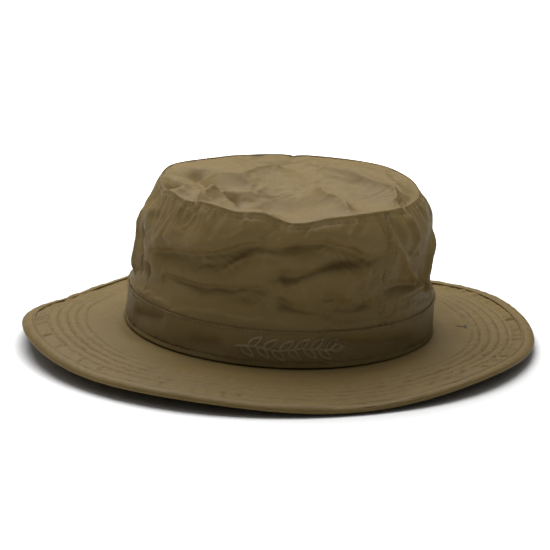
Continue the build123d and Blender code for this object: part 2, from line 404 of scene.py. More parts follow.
# route as (degrees, mm up), depth, reach above or to the left of the route, reach on its other side
WALL_CREASES = [
    ([(-112, 52), (-98, 54), (-80, 59), (-69, 63), (-60, 68), (-51, 72), (-40, 75)], -6.8, 3.0, 14),
    ([(-50, 73), (-35, 75), (-26, 74), (-15, 69), (-6, 64), (3, 69)], -5.4, 2.6, 9),
    ([(-50, 54), (-36, 54), (-27, 59), (-20, 62), (-8, 65)], -5.4, 9, 2.4),
    ([(-4, 65), (-14, 51), (-20, 40)], 3.4, 5, 9),
    ([(-100, 41), (-86, 41), (-74, 41), (-57, 45), (-40, 48)], -3.2, 2.6, 8),
    ([(-117, 76), (-92, 78), (-78, 66)], -2.2, 9, 9),
    ([(-113, 24), (-114, 46), (-121, 66)], -2.4, 3, 4),
    ([(-122, 26), (-123, 48), (-128, 74)], 2.4, 3, 3),
    ([(-131, 28), (-133, 52), (-137, 78)], -2.4, 4, 4),
    ([(-103, 26), (-106, 38), (-108, 47)], -1.9, 3, 3),
    ([(2, 78), (13, 59), (27, 34)], 3.5, 3, 6),
    ([(-2, 44), (12, 43), (30, 42)], -4.1, 8, 2.6),
    ([(41, 74), (32, 59), (28, 44), (37, 28)], 3.0, 3, 3.5),
    ([(50, 80), (44, 60), (47, 40), (42, 26)], -2.7, 3, 4),
    ([(16, 91), (19, 84), (21, 77), (20, 66)], 2.7, 3.5, 5),
    ([(-44, 44), (-37, 35), (-32, 32), (-25, 33)], -4.3, 3, 5),
    ([(-24, 35), (-13, 33), (-4, 39)], -3.5, 5, 4),
    ([(60, 66), (78, 60), (100, 63), (124, 56)], -5.7, 3, 11),
    ([(96, 40), (118, 45), (140, 41)], -4.1, 8, 3),
    ([(128, 72), (150, 66), (172, 70), (190, 64)], -5.4, 3, 10),
    ([(160, 30), (168, 46), (164, 60)], 3.0, 4, 4),
    ([(188, 44), (204, 40), (218, 46)], -4.1, 4, 8),
    ([(70, 30), (74, 46), (68, 58)], 2.7, 4, 5),
    ([(202, 80), (208, 66), (216, 54)], 2.7, 4, 4),
]
WALL_DENTS = [
    ((-24, 66), (17, 7), -2.0),
    ((12, 55), (12, 13), -2.6),
    ((-80, 72), (26, 11), 2.0),
    ((-72, 30), (22, 7), 1.2),
    ((-12, 80), (26, 8), 1.4),
    ((88, 74), (26, 10), 1.6),
    ((140, 55), (20, 9), -2.0),
    ((205, 62), (18, 12), -1.6),
]
BAND_DENTS = [
    ([(-32, 21), (-22, 18), (-12, 13), (2, 10.5), (20, 8)], -3.6, 3.5, 5),
    ([(-112, 11), (-100, 14), (-86, 19)], -3.0, 3.5, 4),
    ([(-76, 9), (-61, 11)], -2.8, 4, 3),
    ([(60, 10), (76, 14), (92, 12)], -1.8, 4, 4),
    ([(128, 15), (150, 10), (166, 14)], -2.0, 4, 4),
]
# routes across the tip in mm along the hat's X and Y
TIP_CREASES = [
    ([(12, -88), (3, -74), (-8, -52)], 5.6, 5, 6),
    ([(-10, -46), (12, -50), (32, -60)], -8.0, 9, 4),
    ([(-26, -82), (-38, -62), (-38, -46)], -5.0, 6, 5),
    ([(-12, -83), (-26, -60)], 2.8, 4, 6),
    ([(-58, -28), (-34, -40), (-12, -50)], -5.8, 9, 9),
    ([(-52, -33), (-22, -22), (-27, -1), (-22, 28)], 4.2, 6, 9),
    ([(14, 6), (42, -7), (50, -6), (58, -9), (72, -18)], 5.2, 4.5, 6),
    ([(-24, 34), (15, 36), (41, 38), (52, 38), (80, 18)], 5.8, 4.5, 8),
    ([(-46, 35), (-3, 46), (38, 50)], 3.2, 4, 6),
    ([(-26, 56), (20, 60), (54, 50)], 2.9, 4, 6),
    ([(-70, 14), (-48, 30), (-38, 58)], -4.3, 6, 6),
]
TIP_DENTS = [
    ((20, -28), (24, 16), -10.4),
    ((-30, -54), (13, 13), -3.9),
    ((48, -42), (13, 13), -3.9),
    ((-20, 30), (34, 26), -1.3),
    ((40, 10), (18, 12), -2.0),
]


def folds(places, creases, dents, turn_length=None, convert=None, narrow=1.0):
    """Sum of all creases and dents at the places; narrow below 1 makes the creases sharper."""
    total = np.zeros(places.shape[:-1])
    for route, depth, left, right in creases:
        route = convert(route) if convert else [(x * MM, y * MM) for x, y in route]
        left, right = left * narrow * MM, right * narrow * MM
        total += crease(places, route, depth * MM, left, right, CREASE_ROUND * narrow, turn_length)
    for centre, radii, depth in dents:
        centre = convert([centre])[0] if convert else (centre[0] * MM, centre[1] * MM)
        total += dent(places, centre, np.array(radii) * MM, depth * MM, turn_length)
    return total


def band_hollows(angles, heights):
    """How far the band and all that it is sewn to are pushed in."""
    places = stacked(angles * MEAN_RADIUS, heights)
    pushed = folds(places, BAND_DENTS, [], TURN, on_wall)
    return pushed * smooth_step(heights / (5 * MM))


# ---- Crown: the wall and the tip are simulated as one cloth ----
def crown_ratio(heights, angles):
    """Size of the crown's oval over its size at the seam; one shoulder is fuller than the other."""
    share = np.clip(heights / CROWN_HEIGHT, 0, 1)
    power = SHOULDER_POWER + SHOULDER_SWING * np.cos(angles - SHOULDER_HEADING)
    waist = WAIST * smooth_step((heights - BAND_HEIGHT) / WAIST_RISE)
    return 1 - waist - (1 - TIP_RATIO - WAIST) * share**power


def wall_point(angles, heights, outward):
    """Point of the crown's wall; outward is counted from the hatband's outer face."""
    ratio = crown_ratio(heights, angles)
    across, along = SEAM_X * ratio + outward, SEAM_Y * ratio + outward
    return stacked(across * np.cos(angles), along * np.sin(angles), heights)


def seam_shift(angles, heights):
    """How far round the crown a side seam wanders, in radians; the seams are at 0 and 180 degrees."""
    total = 0
    for middle, route in ((0, LEFT_SEAM), (180, RIGHT_SEAM)):
        route_heights, route_shifts = np.array(route).T
        shift = np.radians(np.interp(heights / MM, route_heights, route_shifts))
        total = total + shift * bell(angle_apart(angles, math.radians(middle)), SEAM_WINDOW)
    return total


def rim_lift(angles):
    """Rise and fall of the tip's seam round the crown."""
    route = np.array(RIM_WAVES)
    fine = np.radians(np.arange(720) / 2)
    waves = np.interp(np.degrees(fine), route[:, 0] % 360, route[:, 1], period=360)
    kernel = np.exp(-((np.arange(-24, 25) / 9.0) ** 2))
    waves = np.convolve(np.concatenate([waves[-24:], waves, waves[:24]]), kernel / kernel.sum(), "valid")
    return np.interp(angles % WHOLE_TURN, fine, waves, period=WHOLE_TURN) * MM


def tip_grid(cells):
    """Points of a square grid moved onto the unit disc; rows run along Y and columns along X."""
    line = np.linspace(-1, 1, cells + 1)
    x, y = np.meshgrid(line, line)
    disc = stacked(x * np.sqrt(1 - y * y / 2), y * np.sqrt(1 - x * x / 2))
    radius = np.hypot(disc[..., 0], disc[..., 1])
    turn = np.arctan2(disc[..., 1], disc[..., 0])
    turn = turn + seam_shift(turn, CROWN_HEIGHT) * radius**2
    return stacked(radius * np.cos(turn), radius * np.sin(turn))


def rim_cells(cells):
    """(row, column) of the grid's rim, anticlockwise from the middle of its +X side."""
    half = cells // 2
    right = [(row, cells) for row in range(half, cells)]
    back = [(cells, column) for column in range(cells, 0, -1)]
    left = [(row, 0) for row in range(cells, 0, -1)]
    front = [(0, column) for column in range(cells)]
    rest = [(row, cells) for row in range(half)]
    return np.array(right + back + left + front + rest)


def rim_angles(cells):
    """Angle of each rim cell before the seams wander."""
    line = np.linspace(-1, 1, cells + 1)
    rows, columns = rim_cells(cells).T
    x, y = line[columns], line[rows]
    return np.arctan2(y * np.sqrt(1 - x * x / 2), x * np.sqrt(1 - y * y / 2))


def wall_start(rise):
    """Starting shape of the wall; rise is how far the tip's seam lifts in each column."""
    heights = np.linspace(0, CROWN_HEIGHT, WALL_CELLS + 1)[:, None]
    columns = rim_angles(TIP_CELLS)[None, :]
    angles = columns + seam_shift(columns, heights)
    heights = np.broadcast_to(heights, angles.shape)
    places = stacked(angles * MEAN_RADIUS, heights)
    push = folds(places, WALL_CREASES, WALL_DENTS, TURN, on_wall)
    push += 0.4 * MM * wrapped_noise(3, angles.shape[1], WALL_CELLS + 1, 34, 7)
    free = smooth_step((heights - BAND_HEIGHT) / (9 * MM)) * smooth_step((CROWN_HEIGHT - heights) / (7 * MM))
    push = push * (0.15 + 0.85 * free) * smooth_step((heights - 0.7 * BAND_HEIGHT) / (0.3 * BAND_HEIGHT))
    push += band_hollows(angles, heights) * smooth_step(1 - (heights - BAND_HEIGHT) / (8 * MM))
    wall = wall_point(angles, heights, -WALL_INSET + push)
    wall[..., 2] -= 0.25 * push * free
    wall[..., 2] += rise[None, :] * smooth_step((heights - 0.7 * CROWN_HEIGHT) / (0.3 * CROWN_HEIGHT))
    return wall


def tip_start():
    """Starting shape of the tip, before its rim is joined to the wall."""
    disc = tip_grid(TIP_CELLS)
    tip = np.empty((*disc.shape[:2], 3))
    tip[..., 0] = disc[..., 0] * (SEAM_X * TIP_RATIO - WALL_INSET)
    tip[..., 1] = disc[..., 1] * (SEAM_Y * TIP_RATIO - WALL_INSET)
    radius = np.minimum(np.hypot(disc[..., 0], disc[..., 1]), 1)
    turn = np.arctan2(disc[..., 1], disc[..., 0])
    lift = folds(tip[..., :2], TIP_CREASES, TIP_DENTS)
    near_rim = smooth_step((1 - radius) / 0.10)
    tip[..., 2] = CROWN_HEIGHT + TIP_RISE * (1 - radius**2)
    tip[..., 2] += lift * (0.35 + 0.65 * near_rim) + rim_lift(turn) * smooth_step((radius - 0.75) / 0.25)
    return tip


def crown_start():
    """Starting shape of the wall and the tip, with the folds laid in, and the cells of the tip's rim."""
    rim = rim_cells(TIP_CELLS)
    tip = tip_start()
    wall = wall_start(tip[rim[:, 0], rim[:, 1], 2] - CROWN_HEIGHT)
    tip[rim[:, 0], rim[:, 1]] = wall[-1]
    return wall, tip, rim


def cloth_hold(wall, tip, rim):
    """How firmly each point is held while the cloth settles: most at the band, then at the tip's seam."""
    heights = wall[..., 2]
    wall_hold = 1 - WALL_FREEDOM * smooth_step((heights - 0.8 * BAND_HEIGHT) / (10 * MM))
    wall_hold[-2:] = SEAM_HOLD
    inside = np.ones(tip.shape[:2], bool)
    inside[rim[:, 0], rim[:, 1]] = False
    hold = np.concatenate([wall_hold.ravel(), np.full(inside.sum(), TIP_HOLD)])
    return np.round(hold * HOLD_LEVELS) / HOLD_LEVELS


def crown_mesh(wall, tip, rim):
    """Points and faces of the wall and the tip as one cloth, with each grid's numbers of its points."""
    wall_index = np.arange(wall.shape[0] * wall.shape[1]).reshape(wall.shape[:2])
    tip_index = np.full(tip.shape[:2], -1)
    tip_index[rim[:, 0], rim[:, 1]] = wall_index[-1]
    inside = tip_index < 0
    tip_index[inside] = wall_index.size + np.arange(inside.sum())
    points = np.concatenate([wall.reshape(-1, 3), tip[inside]])
    faces = np.concatenate([grid_faces(wall_index, closed=True), grid_faces(tip_index)])
    return points, faces, wall_index, tip_index


def settle(points, faces, hold):
    """Cloth simulation: the cloth is a little too large for its shape, so its folds deepen and sharpen."""
    mesh = bpy.data.meshes.new("crown_cloth")
    mesh.from_pydata(points.tolist(), [], faces.tolist())
    cloth = bpy.data.objects.new("crown_cloth", mesh)
    bpy.context.scene.collection.objects.link(cloth)
    pins = cloth.vertex_groups.new(name="pins")
    for level in np.unique(hold):
        pins.add(np.flatnonzero(hold == level).tolist(), float(level), "REPLACE")
    modifier = cloth.modifiers.new("cloth", "CLOTH")
    settings = modifier.settings
    settings.quality = 6
    settings.mass = 0.12
    settings.tension_stiffness = 18
    settings.compression_stiffness = 18
    settings.shear_stiffness = 6
    settings.bending_stiffness = 0.6
    settings.vertex_group_mass = "pins"
    settings.pin_stiffness = 0.6
    settings.shrink_min = -SLACK
    settings.effector_weights.gravity = 0.2
    modifier.collision_settings.use_collision = False
    modifier.collision_settings.use_self_collision = False
    modifier.point_cache.frame_start = 1
    modifier.point_cache.frame_end = SETTLE_FRAMES
    for step in range(1, SETTLE_FRAMES + 1):
        bpy.context.scene.frame_set(step)
    evaluated = cloth.evaluated_get(bpy.context.evaluated_depsgraph_get())
    settled = np.empty(len(points) * 3, np.float32)
    evaluated.data.vertices.foreach_get("co", settled)
    bpy.context.scene.frame_set(1)
    bpy.data.objects.remove(cloth)
    bpy.data.meshes.remove(mesh)
    moved = settled.reshape(-1, 3) - points
    size = np.linalg.norm(moved, axis=1, keepdims=True)
    return points + moved * np.minimum(1, MOST_MOVED / np.maximum(size, 1e-9))


def clear_of_sweatband(wall):
    """Keeps the lower wall outside the sweatband that stands inside it."""
    heights = wall[..., 2]
    angles = np.arctan2(wall[..., 1] / SEAM_Y, wall[..., 0] / SEAM_X)
    ratio = np.hypot(wall[..., 0] / SEAM_X, wall[..., 1] / SEAM_Y)
    least = crown_ratio(heights, angles) - SWEATBAND_ROOM / MEAN_RADIUS
    least = least + np.minimum(band_hollows(angles, np.clip(heights, 0, BAND_HEIGHT)), 0) / MEAN_RADIUS
    near = smooth_step(1 - (heights - SWEATBAND_HEIGHT) / (7 * MM))
    pushed = 1 + np.maximum(least / np.maximum(ratio, 1e-6) - 1, 0) * near
    wall = wall.copy()
    wall[..., :2] *= pushed[..., None]
    return wall


def crown_surfaces():
    """The settled wall and tip as fine grids."""
    wall, tip, rim = crown_start()
    points, faces, wall_index, tip_index = crown_mesh(wall, tip, rim)
    points = settle(points, faces, cloth_hold(wall, tip, rim))
    wall = refine(refine(points[wall_index], FINER, 1, True), FINER, 0, False)
    tip = refine(refine(points[tip_index], FINER, 1, False), FINER, 0, False)
    wall = clear_of_sweatband(wall)
    fine_rim = rim_cells(TIP_CELLS * FINER)
    tip[fine_rim[:, 0], fine_rim[:, 1]] = wall[-1]
    return wall, tip, fine_rim


class Surface:
    """A grid of points and its normals, read at fractional rows and columns."""

    def __init__(self, grid, closed=True):
        self.grid = grid
        self.closed = closed
        self.normal = normals_of(grid, closed)

    def at(self, rows, columns, lift=0.0):
        rows, columns = np.broadcast_arrays(np.asarray(rows, float), np.asarray(columns, float))
        point = bilinear(self.grid, rows, columns, self.closed)
        normal = bilinear(self.normal, rows, columns, self.closed)
        normal = normal / np.linalg.norm(normal, axis=-1, keepdims=True)
        return point + np.asarray(lift)[..., None] * normal, normal


# ---- Meshes ----
def new_mesh(name, points, faces, uvs):
    """Mesh object of quads with smooth shading; uvs has a place on the flat cloth for each face corner."""
    mesh = bpy.data.meshes.new(name)
    mesh.vertices.add(len(points))
    mesh.vertices.foreach_set("co", points.astype(np.float32).ravel())
    mesh.loops.add(faces.size)
    mesh.loops.foreach_set("vertex_index", faces.astype(np.int32).ravel())
    mesh.polygons.add(len(faces))
    mesh.polygons.foreach_set("loop_start", np.arange(0, faces.size, 4, dtype=np.int32))
    layer = mesh.uv_layers.new(name="cloth")
    mesh.update(calc_edges=True)
    layer.uv.foreach_set("vector", uvs.astype(np.float32).ravel())
    mesh.polygons.foreach_set("use_smooth", np.ones(len(faces), bool))
    mesh.validate()
    piece = bpy.data.objects.new(name, mesh)
    bpy.context.scene.collection.objects.link(piece)
    return piece


def grid_piece(name, grid, uv, closed=False, closed_rows=False, lean=True):
    """Mesh object of a grid of points; uv covers one row or column more where the grid is closed."""
    index = np.arange(grid.shape[0] * grid.shape[1]).reshape(grid.shape[:2])
    faces = grid_faces(index, closed, closed_rows)
    uv_index = np.arange(uv.shape[0] * uv.shape[1]).reshape(uv.shape[:2])
    corners = grid_faces(uv_index)
    points = grid.reshape(-1, 3)
    return new_mesh(name, to_row(points) if lean else points, faces, uv.reshape(-1, 2)[corners])


def thicken(piece, thickness):
    """Gives a sheet its thickness, on the side away from its normals."""
    solid = piece.modifiers.new("thickness", "SOLIDIFY")
    solid.thickness = thickness
    solid.offset = -1
    solid.use_even_offset = False


def swept_uv(profile, columns, length):
    """Places on the flat cloth for a closed profile swept once round."""
    loop = np.concatenate([profile, profile[:1]]) * MM
    run = np.concatenate([[0], np.cumsum(np.linalg.norm(np.diff(loop, axis=0), axis=1))])
    along = np.arange(columns + 1) / columns * length
    return stacked(along[None, :], run[:, None])


# ---- Thread: every stitch is a short rounded thread that dives into the cloth at both ends ----
def threads(name, starts, ends, normals, radius, arch, lean=True):
    """One mesh of separate threads between starts and ends that arch away from the cloth."""
    heading = ends - starts
    length = np.linalg.norm(heading, axis=1, keepdims=True)
    heading = heading / length
    side = np.cross(heading, normals)
    side /= np.linalg.norm(side, axis=1, keepdims=True)
    up = np.cross(side, heading)
    shares = np.linspace(0, 1, THREAD_RINGS)
    bow = np.sin(np.pi * shares) ** 0.5
    width = np.maximum(bow, 0.45)
    turn = even_angles(THREAD_SIDES)
    centre = starts[:, None] + heading[:, None] * (length[:, None] * shares[None, :, None])
    centre = centre + up[:, None] * ((arch + radius * 0.4) * bow - radius * 0.4)[None, :, None]
    round_it = side[:, None] * np.cos(turn)[None, :, None] + up[:, None] * np.sin(turn)[None, :, None]
    points = centre[:, :, None] + radius * width[None, :, None, None] * round_it[:, None]
    index = np.arange(THREAD_RINGS * THREAD_SIDES).reshape(THREAD_RINGS, THREAD_SIDES)
    one = grid_faces(index, closed=True)
    caps = [index[0][[3, 2, 1, 0]], index[0][[5, 4, 3, 0]], index[-1][[0, 1, 2, 3]], index[-1][[0, 3, 4, 5]]]
    one = np.concatenate([one, np.array(caps)])
    faces = (one[None] + np.arange(len(starts))[:, None, None] * index.size).reshape(-1, 4)
    along = np.repeat(shares[:, None], THREAD_SIDES, axis=1) * float(length.mean())
    around = np.repeat(turn[None, :], THREAD_RINGS, axis=0) * radius
    uvs = stacked(along, around).reshape(-1, 2)[one]
    uvs = np.broadcast_to(uvs, (len(starts), *uvs.shape)).reshape(-1, 2)
    points = points.reshape(-1, 3)
    return new_mesh(name, to_row(points) if lean else points, faces, uvs)


def stitches(points, normals, closed=False):
    """Starts, ends and normals of the stitches along a line of points."""
    if closed:
        points = np.concatenate([points, points[:1]])
        normals = np.concatenate([normals, normals[:1]])
    run = np.concatenate([[0], np.cumsum(np.linalg.norm(np.diff(points, axis=0), axis=1))])
    count = int(run[-1] / STITCH_PITCH)
    starts = np.arange(count) * run[-1] / count + 0.1 * STITCH_PITCH

    def read(values, at):
        return np.stack([np.interp(at, run, values[:, axis]) for axis in range(3)], axis=1)

    low, high = read(points, starts), read(points, starts + STITCH_LENGTH)
    return low, high, read(normals, starts + STITCH_LENGTH / 2)


def ring_stitches(surface, row, lift=0.0):
    """Stitches once round a closed surface, along one of its rows."""
    return stitches(*surface.at(row, np.arange(surface.grid.shape[1]), lift), closed=True)


def stitch_piece(name, runs, lean=True):
    """One mesh of several runs of stitches."""
    starts, ends, normals = (np.concatenate(parts) for parts in zip(*runs))
    return threads(name, starts, ends, normals, STITCH_WIDTH / 2, 0.3 * STITCH_WIDTH, lean)


# ---- Crown pieces ----
def crumple(seed, across, up, knots):
    """Net of soft ridges left in cloth that was folded small: noise folded about zero, repeating across."""
    rng = np.random.default_rng(seed)
    bend = bilinear(rng.normal(size=(64, knots // 2, 1)), up / 2 + 16, across / 2, eased=True)[..., 0]
    value = bilinear(rng.normal(size=(64, knots, 1)), up + bend + 24, across, eased=True)[..., 0]
    return 0.7 - np.sqrt(value**2 + 0.02)


def tip_seam_relief(columns, below):
    """Ridge of the tip's seam, the groove of its topstitching and the puckers under it."""
    strength = 0.6 + 0.4 * wrapped_noise(11, columns, 2, 40, 1)[:1]
    pucker = wrapped_noise(12, columns, 2, 150, 1)[:1] * bell(below - 4 * MM, 4 * MM)
    relief = TIP_SEAM_RIDGE * bell(below, 1.1 * MM)
    relief = relief - TIP_SEAM_GROOVE * strength * bell(below - TIP_STITCH, 0.7 * MM)
    relief = relief - TIP_SEAM_PINCH * bell(below - 1.4 * MM, 0.6 * MM)
    return relief + TIP_SEAM_PUCKER * pucker * smooth_step(below / (1.5 * MM))


def side_seam_relief(rows, columns):
    """Folded edge of each side seam, the grooves of its two rows of stitches and their puckers."""
    half = columns // 2
    middle = sum(SIDE_ROWS) / 2
    relief = np.zeros((rows, columns))
    for seed, seam in ((SEAM_SEED, 0), (SEAM_SEED + half, half)):
        apart = ((np.arange(columns) - seam + half) % columns - half) * TURN / columns
        waves = wrapped_noise(seed, 2, rows, 2, 46)[:, :1]
        for row in SIDE_ROWS:
            relief -= SIDE_SEAM_GROOVE * bell(apart - row, 0.7 * MM)
        relief += SIDE_SEAM_PUCKER * waves * bell(apart - middle, 4 * MM)
        relief += SIDE_SEAM_FOLD * bell(apart - 0.4 * MM, 0.9 * MM)
    return relief


def wall_details(wall):
    """The fine wall with its sewn relief, its creases pressed in sharply and its crumples."""
    rows, columns = wall.shape[:2]
    heights = np.linspace(0, CROWN_HEIGHT, rows)[:, None]
    below = CROWN_HEIGHT - heights
    relief = tip_seam_relief(columns, below) + side_seam_relief(rows, columns)
    relief = relief * smooth_step((heights - 0.6 * BAND_HEIGHT) / (4 * MM))
    angles = np.arctan2(wall[..., 1] / SEAM_Y, wall[..., 0] / SEAM_X)
    places = stacked(angles * MEAN_RADIUS, heights)
    free = smooth_step((heights - SWEATBAND_HEIGHT) / (8 * MM)) * smooth_step(below / (7 * MM))
    relief = relief + PRESSED * free * folds(places, WALL_CREASES, [], TURN, on_wall, narrow=0.6)
    for seed, knots, rise, size in CRUMPLES:
        relief = relief + size * free * crumple(seed, angles / WHOLE_TURN * knots, heights / rise, knots)
    return wall + relief[..., None] * normals_of(wall, True)


def tip_details(tip):
    """The fine tip with its sewn edge, its creases pressed in sharply and its crumples."""
    disc = tip[..., :2] / (np.array([SEAM_X, SEAM_Y]) * TIP_RATIO)
    inward = (1 - np.linalg.norm(disc, axis=-1)) * MEAN_RADIUS * TIP_RATIO
    sink = -TIP_EDGE_SINK * bell(inward - 1.1 * MM, 1.3 * MM)
    knots = np.random.default_rng(31).normal(size=TIP_RIPPLES)
    turn = np.arctan2(disc[..., 1], disc[..., 0]) / WHOLE_TURN * TIP_RIPPLES
    ripple = np.interp(turn % TIP_RIPPLES, np.arange(TIP_RIPPLES + 1), np.append(knots, knots[0]))
    sink = sink + TIP_EDGE_RIPPLE * ripple * bell(inward - 4 * MM, 3.2 * MM)
    pressed = PRESSED * folds(tip[..., :2], TIP_CREASES, [], narrow=0.65)
    for seed, knots, rise, size in CRUMPLES:
        pitch = TIP_CRUMPLE_SIZE * rise
        net = crumple(seed + 9, tip[..., 0] / pitch, tip[..., 1] / pitch, knots)
        pressed = pressed + TIP_CRUMPLE_DEPTH * size * net
    tip = tip.copy()
    tip[..., 2] += sink + pressed * smooth_step(inward / (7 * MM))
    return tip


def crown_details(wall, tip, rim):
    """Fine relief on the wall and the tip, which stay joined along the tip's rim."""
    wall, tip = wall_details(wall), tip_details(tip)
    tip[rim[:, 0], rim[:, 1]] = wall[-1] - np.array([0, 0, RIM_SINK])
    return wall, tip


def crown_panel(name, wall, first, last, lap):
    """One side panel between two seams; a lap carries it on under its neighbour."""
    columns = wall.shape[1]
    picked = np.arange(first - lap, last + lap + 1)
    grid = wall[:, picked % columns]
    if lap:
        normal = normals_of(wall, True)[:, picked % columns]
        past = np.maximum(first - picked, picked - last) + 3
        grid = grid - (LAP_DEPTH * smooth_step(past / 4))[None, :, None] * normal
    along = picked / columns * TURN
    up = np.linspace(0, CROWN_HEIGHT, wall.shape[0])
    uv = stacked(along[None, :], up[:, None])
    piece = grid_piece(name, grid, uv)
    thicken(piece, CLOTH)
    return piece


def crown_stitches(surface, columns, rows_per_metre):
    """The tip's topstitching, and the twin rows down each side seam."""
    tip_run = ring_stitches(surface, (CROWN_HEIGHT - TIP_STITCH) * rows_per_metre, STITCH_SINK)
    low, high = (BAND_HEIGHT - 1 * MM) * rows_per_metre, (CROWN_HEIGHT - 1.5 * MM) * rows_per_metre
    down = np.linspace(high, low, 120)
    per_metre = columns / TURN
    side_runs = [
        stitches(*surface.at(down, seam + row * per_metre, STITCH_SINK))
        for seam in (0, columns // 2)
        for row in SIDE_ROWS
    ]
    return tip_run, side_runs


# ---- Bands that go round the crown: a closed profile of (outward, height) in mm ----
def band_profile(bottom, top, outer, inner, step, flare=0.0, lip=0.0):
    """Folded cloth band, from its lower edge up the outer face, over the top and down the inner face."""
    rise = np.arange(bottom + 0.5, top - 0.4, step)
    swell = flare * np.exp(-(rise - bottom) / 2.2) + lip * np.exp(-(top - rise) / 0.9)
    out = list(zip(outer + swell, rise))
    middle = (outer + inner) / 2
    roll = [(outer + lip - 0.08, top - 0.25), (middle + lip / 2, top), (inner + 0.08, top - 0.25)]
    back = [(inner, height) for height in rise[::-3]]
    foot = [(middle + flare, bottom), (outer + flare, bottom + 0.15)]
    return np.array(out + roll + back + foot)


def band_piece(name, profile, relief_of):
    """Band swept round the crown; relief_of gives its displacement from angles and heights."""
    angles = even_angles(RING_COLUMNS)[None, :]
    outward, heights = (profile[:, axis][:, None] * MM for axis in (0, 1))
    pushed = relief_of(angles, heights)
    grid = wall_point(angles, np.maximum(heights, 0), outward + pushed)
    grid[..., 2] = heights
    uv = swept_uv(profile, RING_COLUMNS, TURN)
    piece = grid_piece(name, grid, uv, closed=True, closed_rows=True)
    return piece, grid


def line_relief(heights, rows, depth, width):
    """Groove pressed in by each row of stitches."""
    return -sum(depth * bell(heights - row, width) for row in rows)


def ring_noise(seed, count):
    """Function of the angle: smooth noise with that many knots round the crown."""
    knots = np.random.default_rng(seed).normal(size=count)

    def read(angles):
        at = (angles % WHOLE_TURN) / WHOLE_TURN * count
        low = np.floor(at).astype(int)
        share = smooth_step(at - low)
        return knots[low % count] * (1 - share) + knots[(low + 1) % count] * share

    return read


band_ripple = ring_noise(41, 190)
band_drift = ring_noise(42, 26)


def hatband_relief(angles, heights):
    """Hollows of the crown, the two stitch lines and the small puckers beside them."""
    relief = band_hollows(angles, heights)
    relief = relief + line_relief(heights, BAND_ROWS, HATBAND_GROOVE, 0.6 * MM)
    near_rows = sum(bell(heights - row, 1.8 * MM) for row in BAND_ROWS)
    relief = relief + HATBAND_PUCKER * band_ripple(angles + heights * 3) * near_rows
    return relief + HATBAND_SWELL * band_drift(angles + heights * 6) * np.sin(math.pi * heights / BAND_HEIGHT)


sweat_drift = ring_noise(43, 34)
sweat_ripple = ring_noise(44, 170)


def sweatband_relief(angles, heights):
    """The sweatband follows the hatband's hollows and has its own stitch lines and soft waves."""
    follows = smooth_step((heights + 3 * MM) / (6 * MM))
    relief = band_hollows(angles, np.clip(heights, 0, BAND_HEIGHT)) * follows
    rows = sum(bell(heights - row, 0.6 * MM) for row in SWEATBAND_ROWS)
    relief = relief + SWEATBAND_GROOVE * rows
    relief = relief - SWEATBAND_PUCKER * np.abs(sweat_ripple(angles)) * rows
    return relief + SWEATBAND_SWELL * sweat_drift(angles)


# ---- Brim ----
def edge_wave(headings):
    """Rise of the brim's edge from its waves."""
    total = 0
    for count, size, crest in BRIM_WAVES:
        total = total + size * MM * np.cos(count * (headings - math.radians(crest)))
    return total


EDGE_LIFT = -edge_wave(np.radians(np.arange(360))).min()


def oval_radius(semi_x, semi_y, heading):
    """Distance from the middle of an oval to its edge."""
    return 1 / np.hypot(np.cos(heading) / semi_x, np.sin(heading) / semi_y)


def brim_height(x, y):
    """Height of the brim's top face: the leaning seam's plane that turns into the wavy edge."""
    turn = np.arctan2(y, x)
    seam = oval_radius(SEAM_X, SEAM_Y, turn)
    edge = oval_radius(EDGE_X, EDGE_Y, turn)
    fraction = (np.hypot(x, y) - seam) / (edge - seam)
    share = BRIM_BEND * np.log(1 + np.exp(fraction / BRIM_BEND))
    seam_plane = hat_origin[2] - (hat_up[0] * x + hat_up[1] * y) / hat_up[2]
    headings = np.arctan2(y / EDGE_Y, x / EDGE_X)
    return (1 - share) * seam_plane + share * (EDGE_LIFT + edge_wave(headings) + BINDING_DEPTH)


def brim_point(angles, setbacks, drop=0.0):
    """Point of the brim at an angle and a distance in from its edge, below its top face by drop."""
    x = (EDGE_X - setbacks) * np.cos(angles)
    y = (EDGE_Y - setbacks) * np.sin(angles)
    return stacked(x, y, brim_height(x, y) - drop)


edge_ribs = ring_noise(51, 300)
row_puckers = [ring_noise(60 + row, 230) for row in range(len(ROW_SETBACKS) + 1)]
brim_swells = [ring_noise(80 + ring, 22) for ring in range(4)]


def end_strength(angles):
    """1 at the two pulled ends of the brim, less elsewhere."""
    total = 0
    for heading in END_HEADINGS:
        total = total + bell(angle_apart(angles, heading), END_SPREAD)
    return 0.45 + 0.55 * np.minimum(total, 1)


def brim_relief(angles, setbacks, side_seed):
    """Quilted rows, the ribs beside the binding and the soft swells of the brim's cloth."""
    strength = end_strength(angles)
    relief = line_relief(setbacks, ROW_SETBACKS, BRIM_GROOVE, BRIM_GROOVE)
    outside = smooth_step((setbacks - 12 * MM) / (4 * MM))
    inside = smooth_step((ROW_SETBACKS[-1] + 3 * MM - setbacks) / (4 * MM))
    quilted = outside * inside
    relief = relief + BRIM_QUILT * quilted
    for row, noise in enumerate(row_puckers):
        middle = ROW_SETBACKS[0] + (row - 0.5) * ROW_PITCH
        near = bell(setbacks - middle, 0.45 * ROW_PITCH)
        relief = relief + BRIM_PUCKER * strength * noise(angles + side_seed + setbacks * 4) * near * quilted
    ribbed = smooth_step((setbacks - 7 * MM) / (2 * MM)) * smooth_step((19 * MM - setbacks) / (7 * MM))
    relief = relief + BRIM_RIB * strength * edge_ribs(angles + side_seed + setbacks * 3) * ribbed
    free = smooth_step((BRIM_WIDTH - setbacks) / (9 * MM))
    for ring, noise in enumerate(brim_swells):
        middle = ROW_SETBACKS[-1] + (4 + 7 * ring) * MM
        near = bell(setbacks - middle, 6 * MM)
        relief = relief + BRIM_SWELL * noise(angles + side_seed + ring) * near * free
    return relief


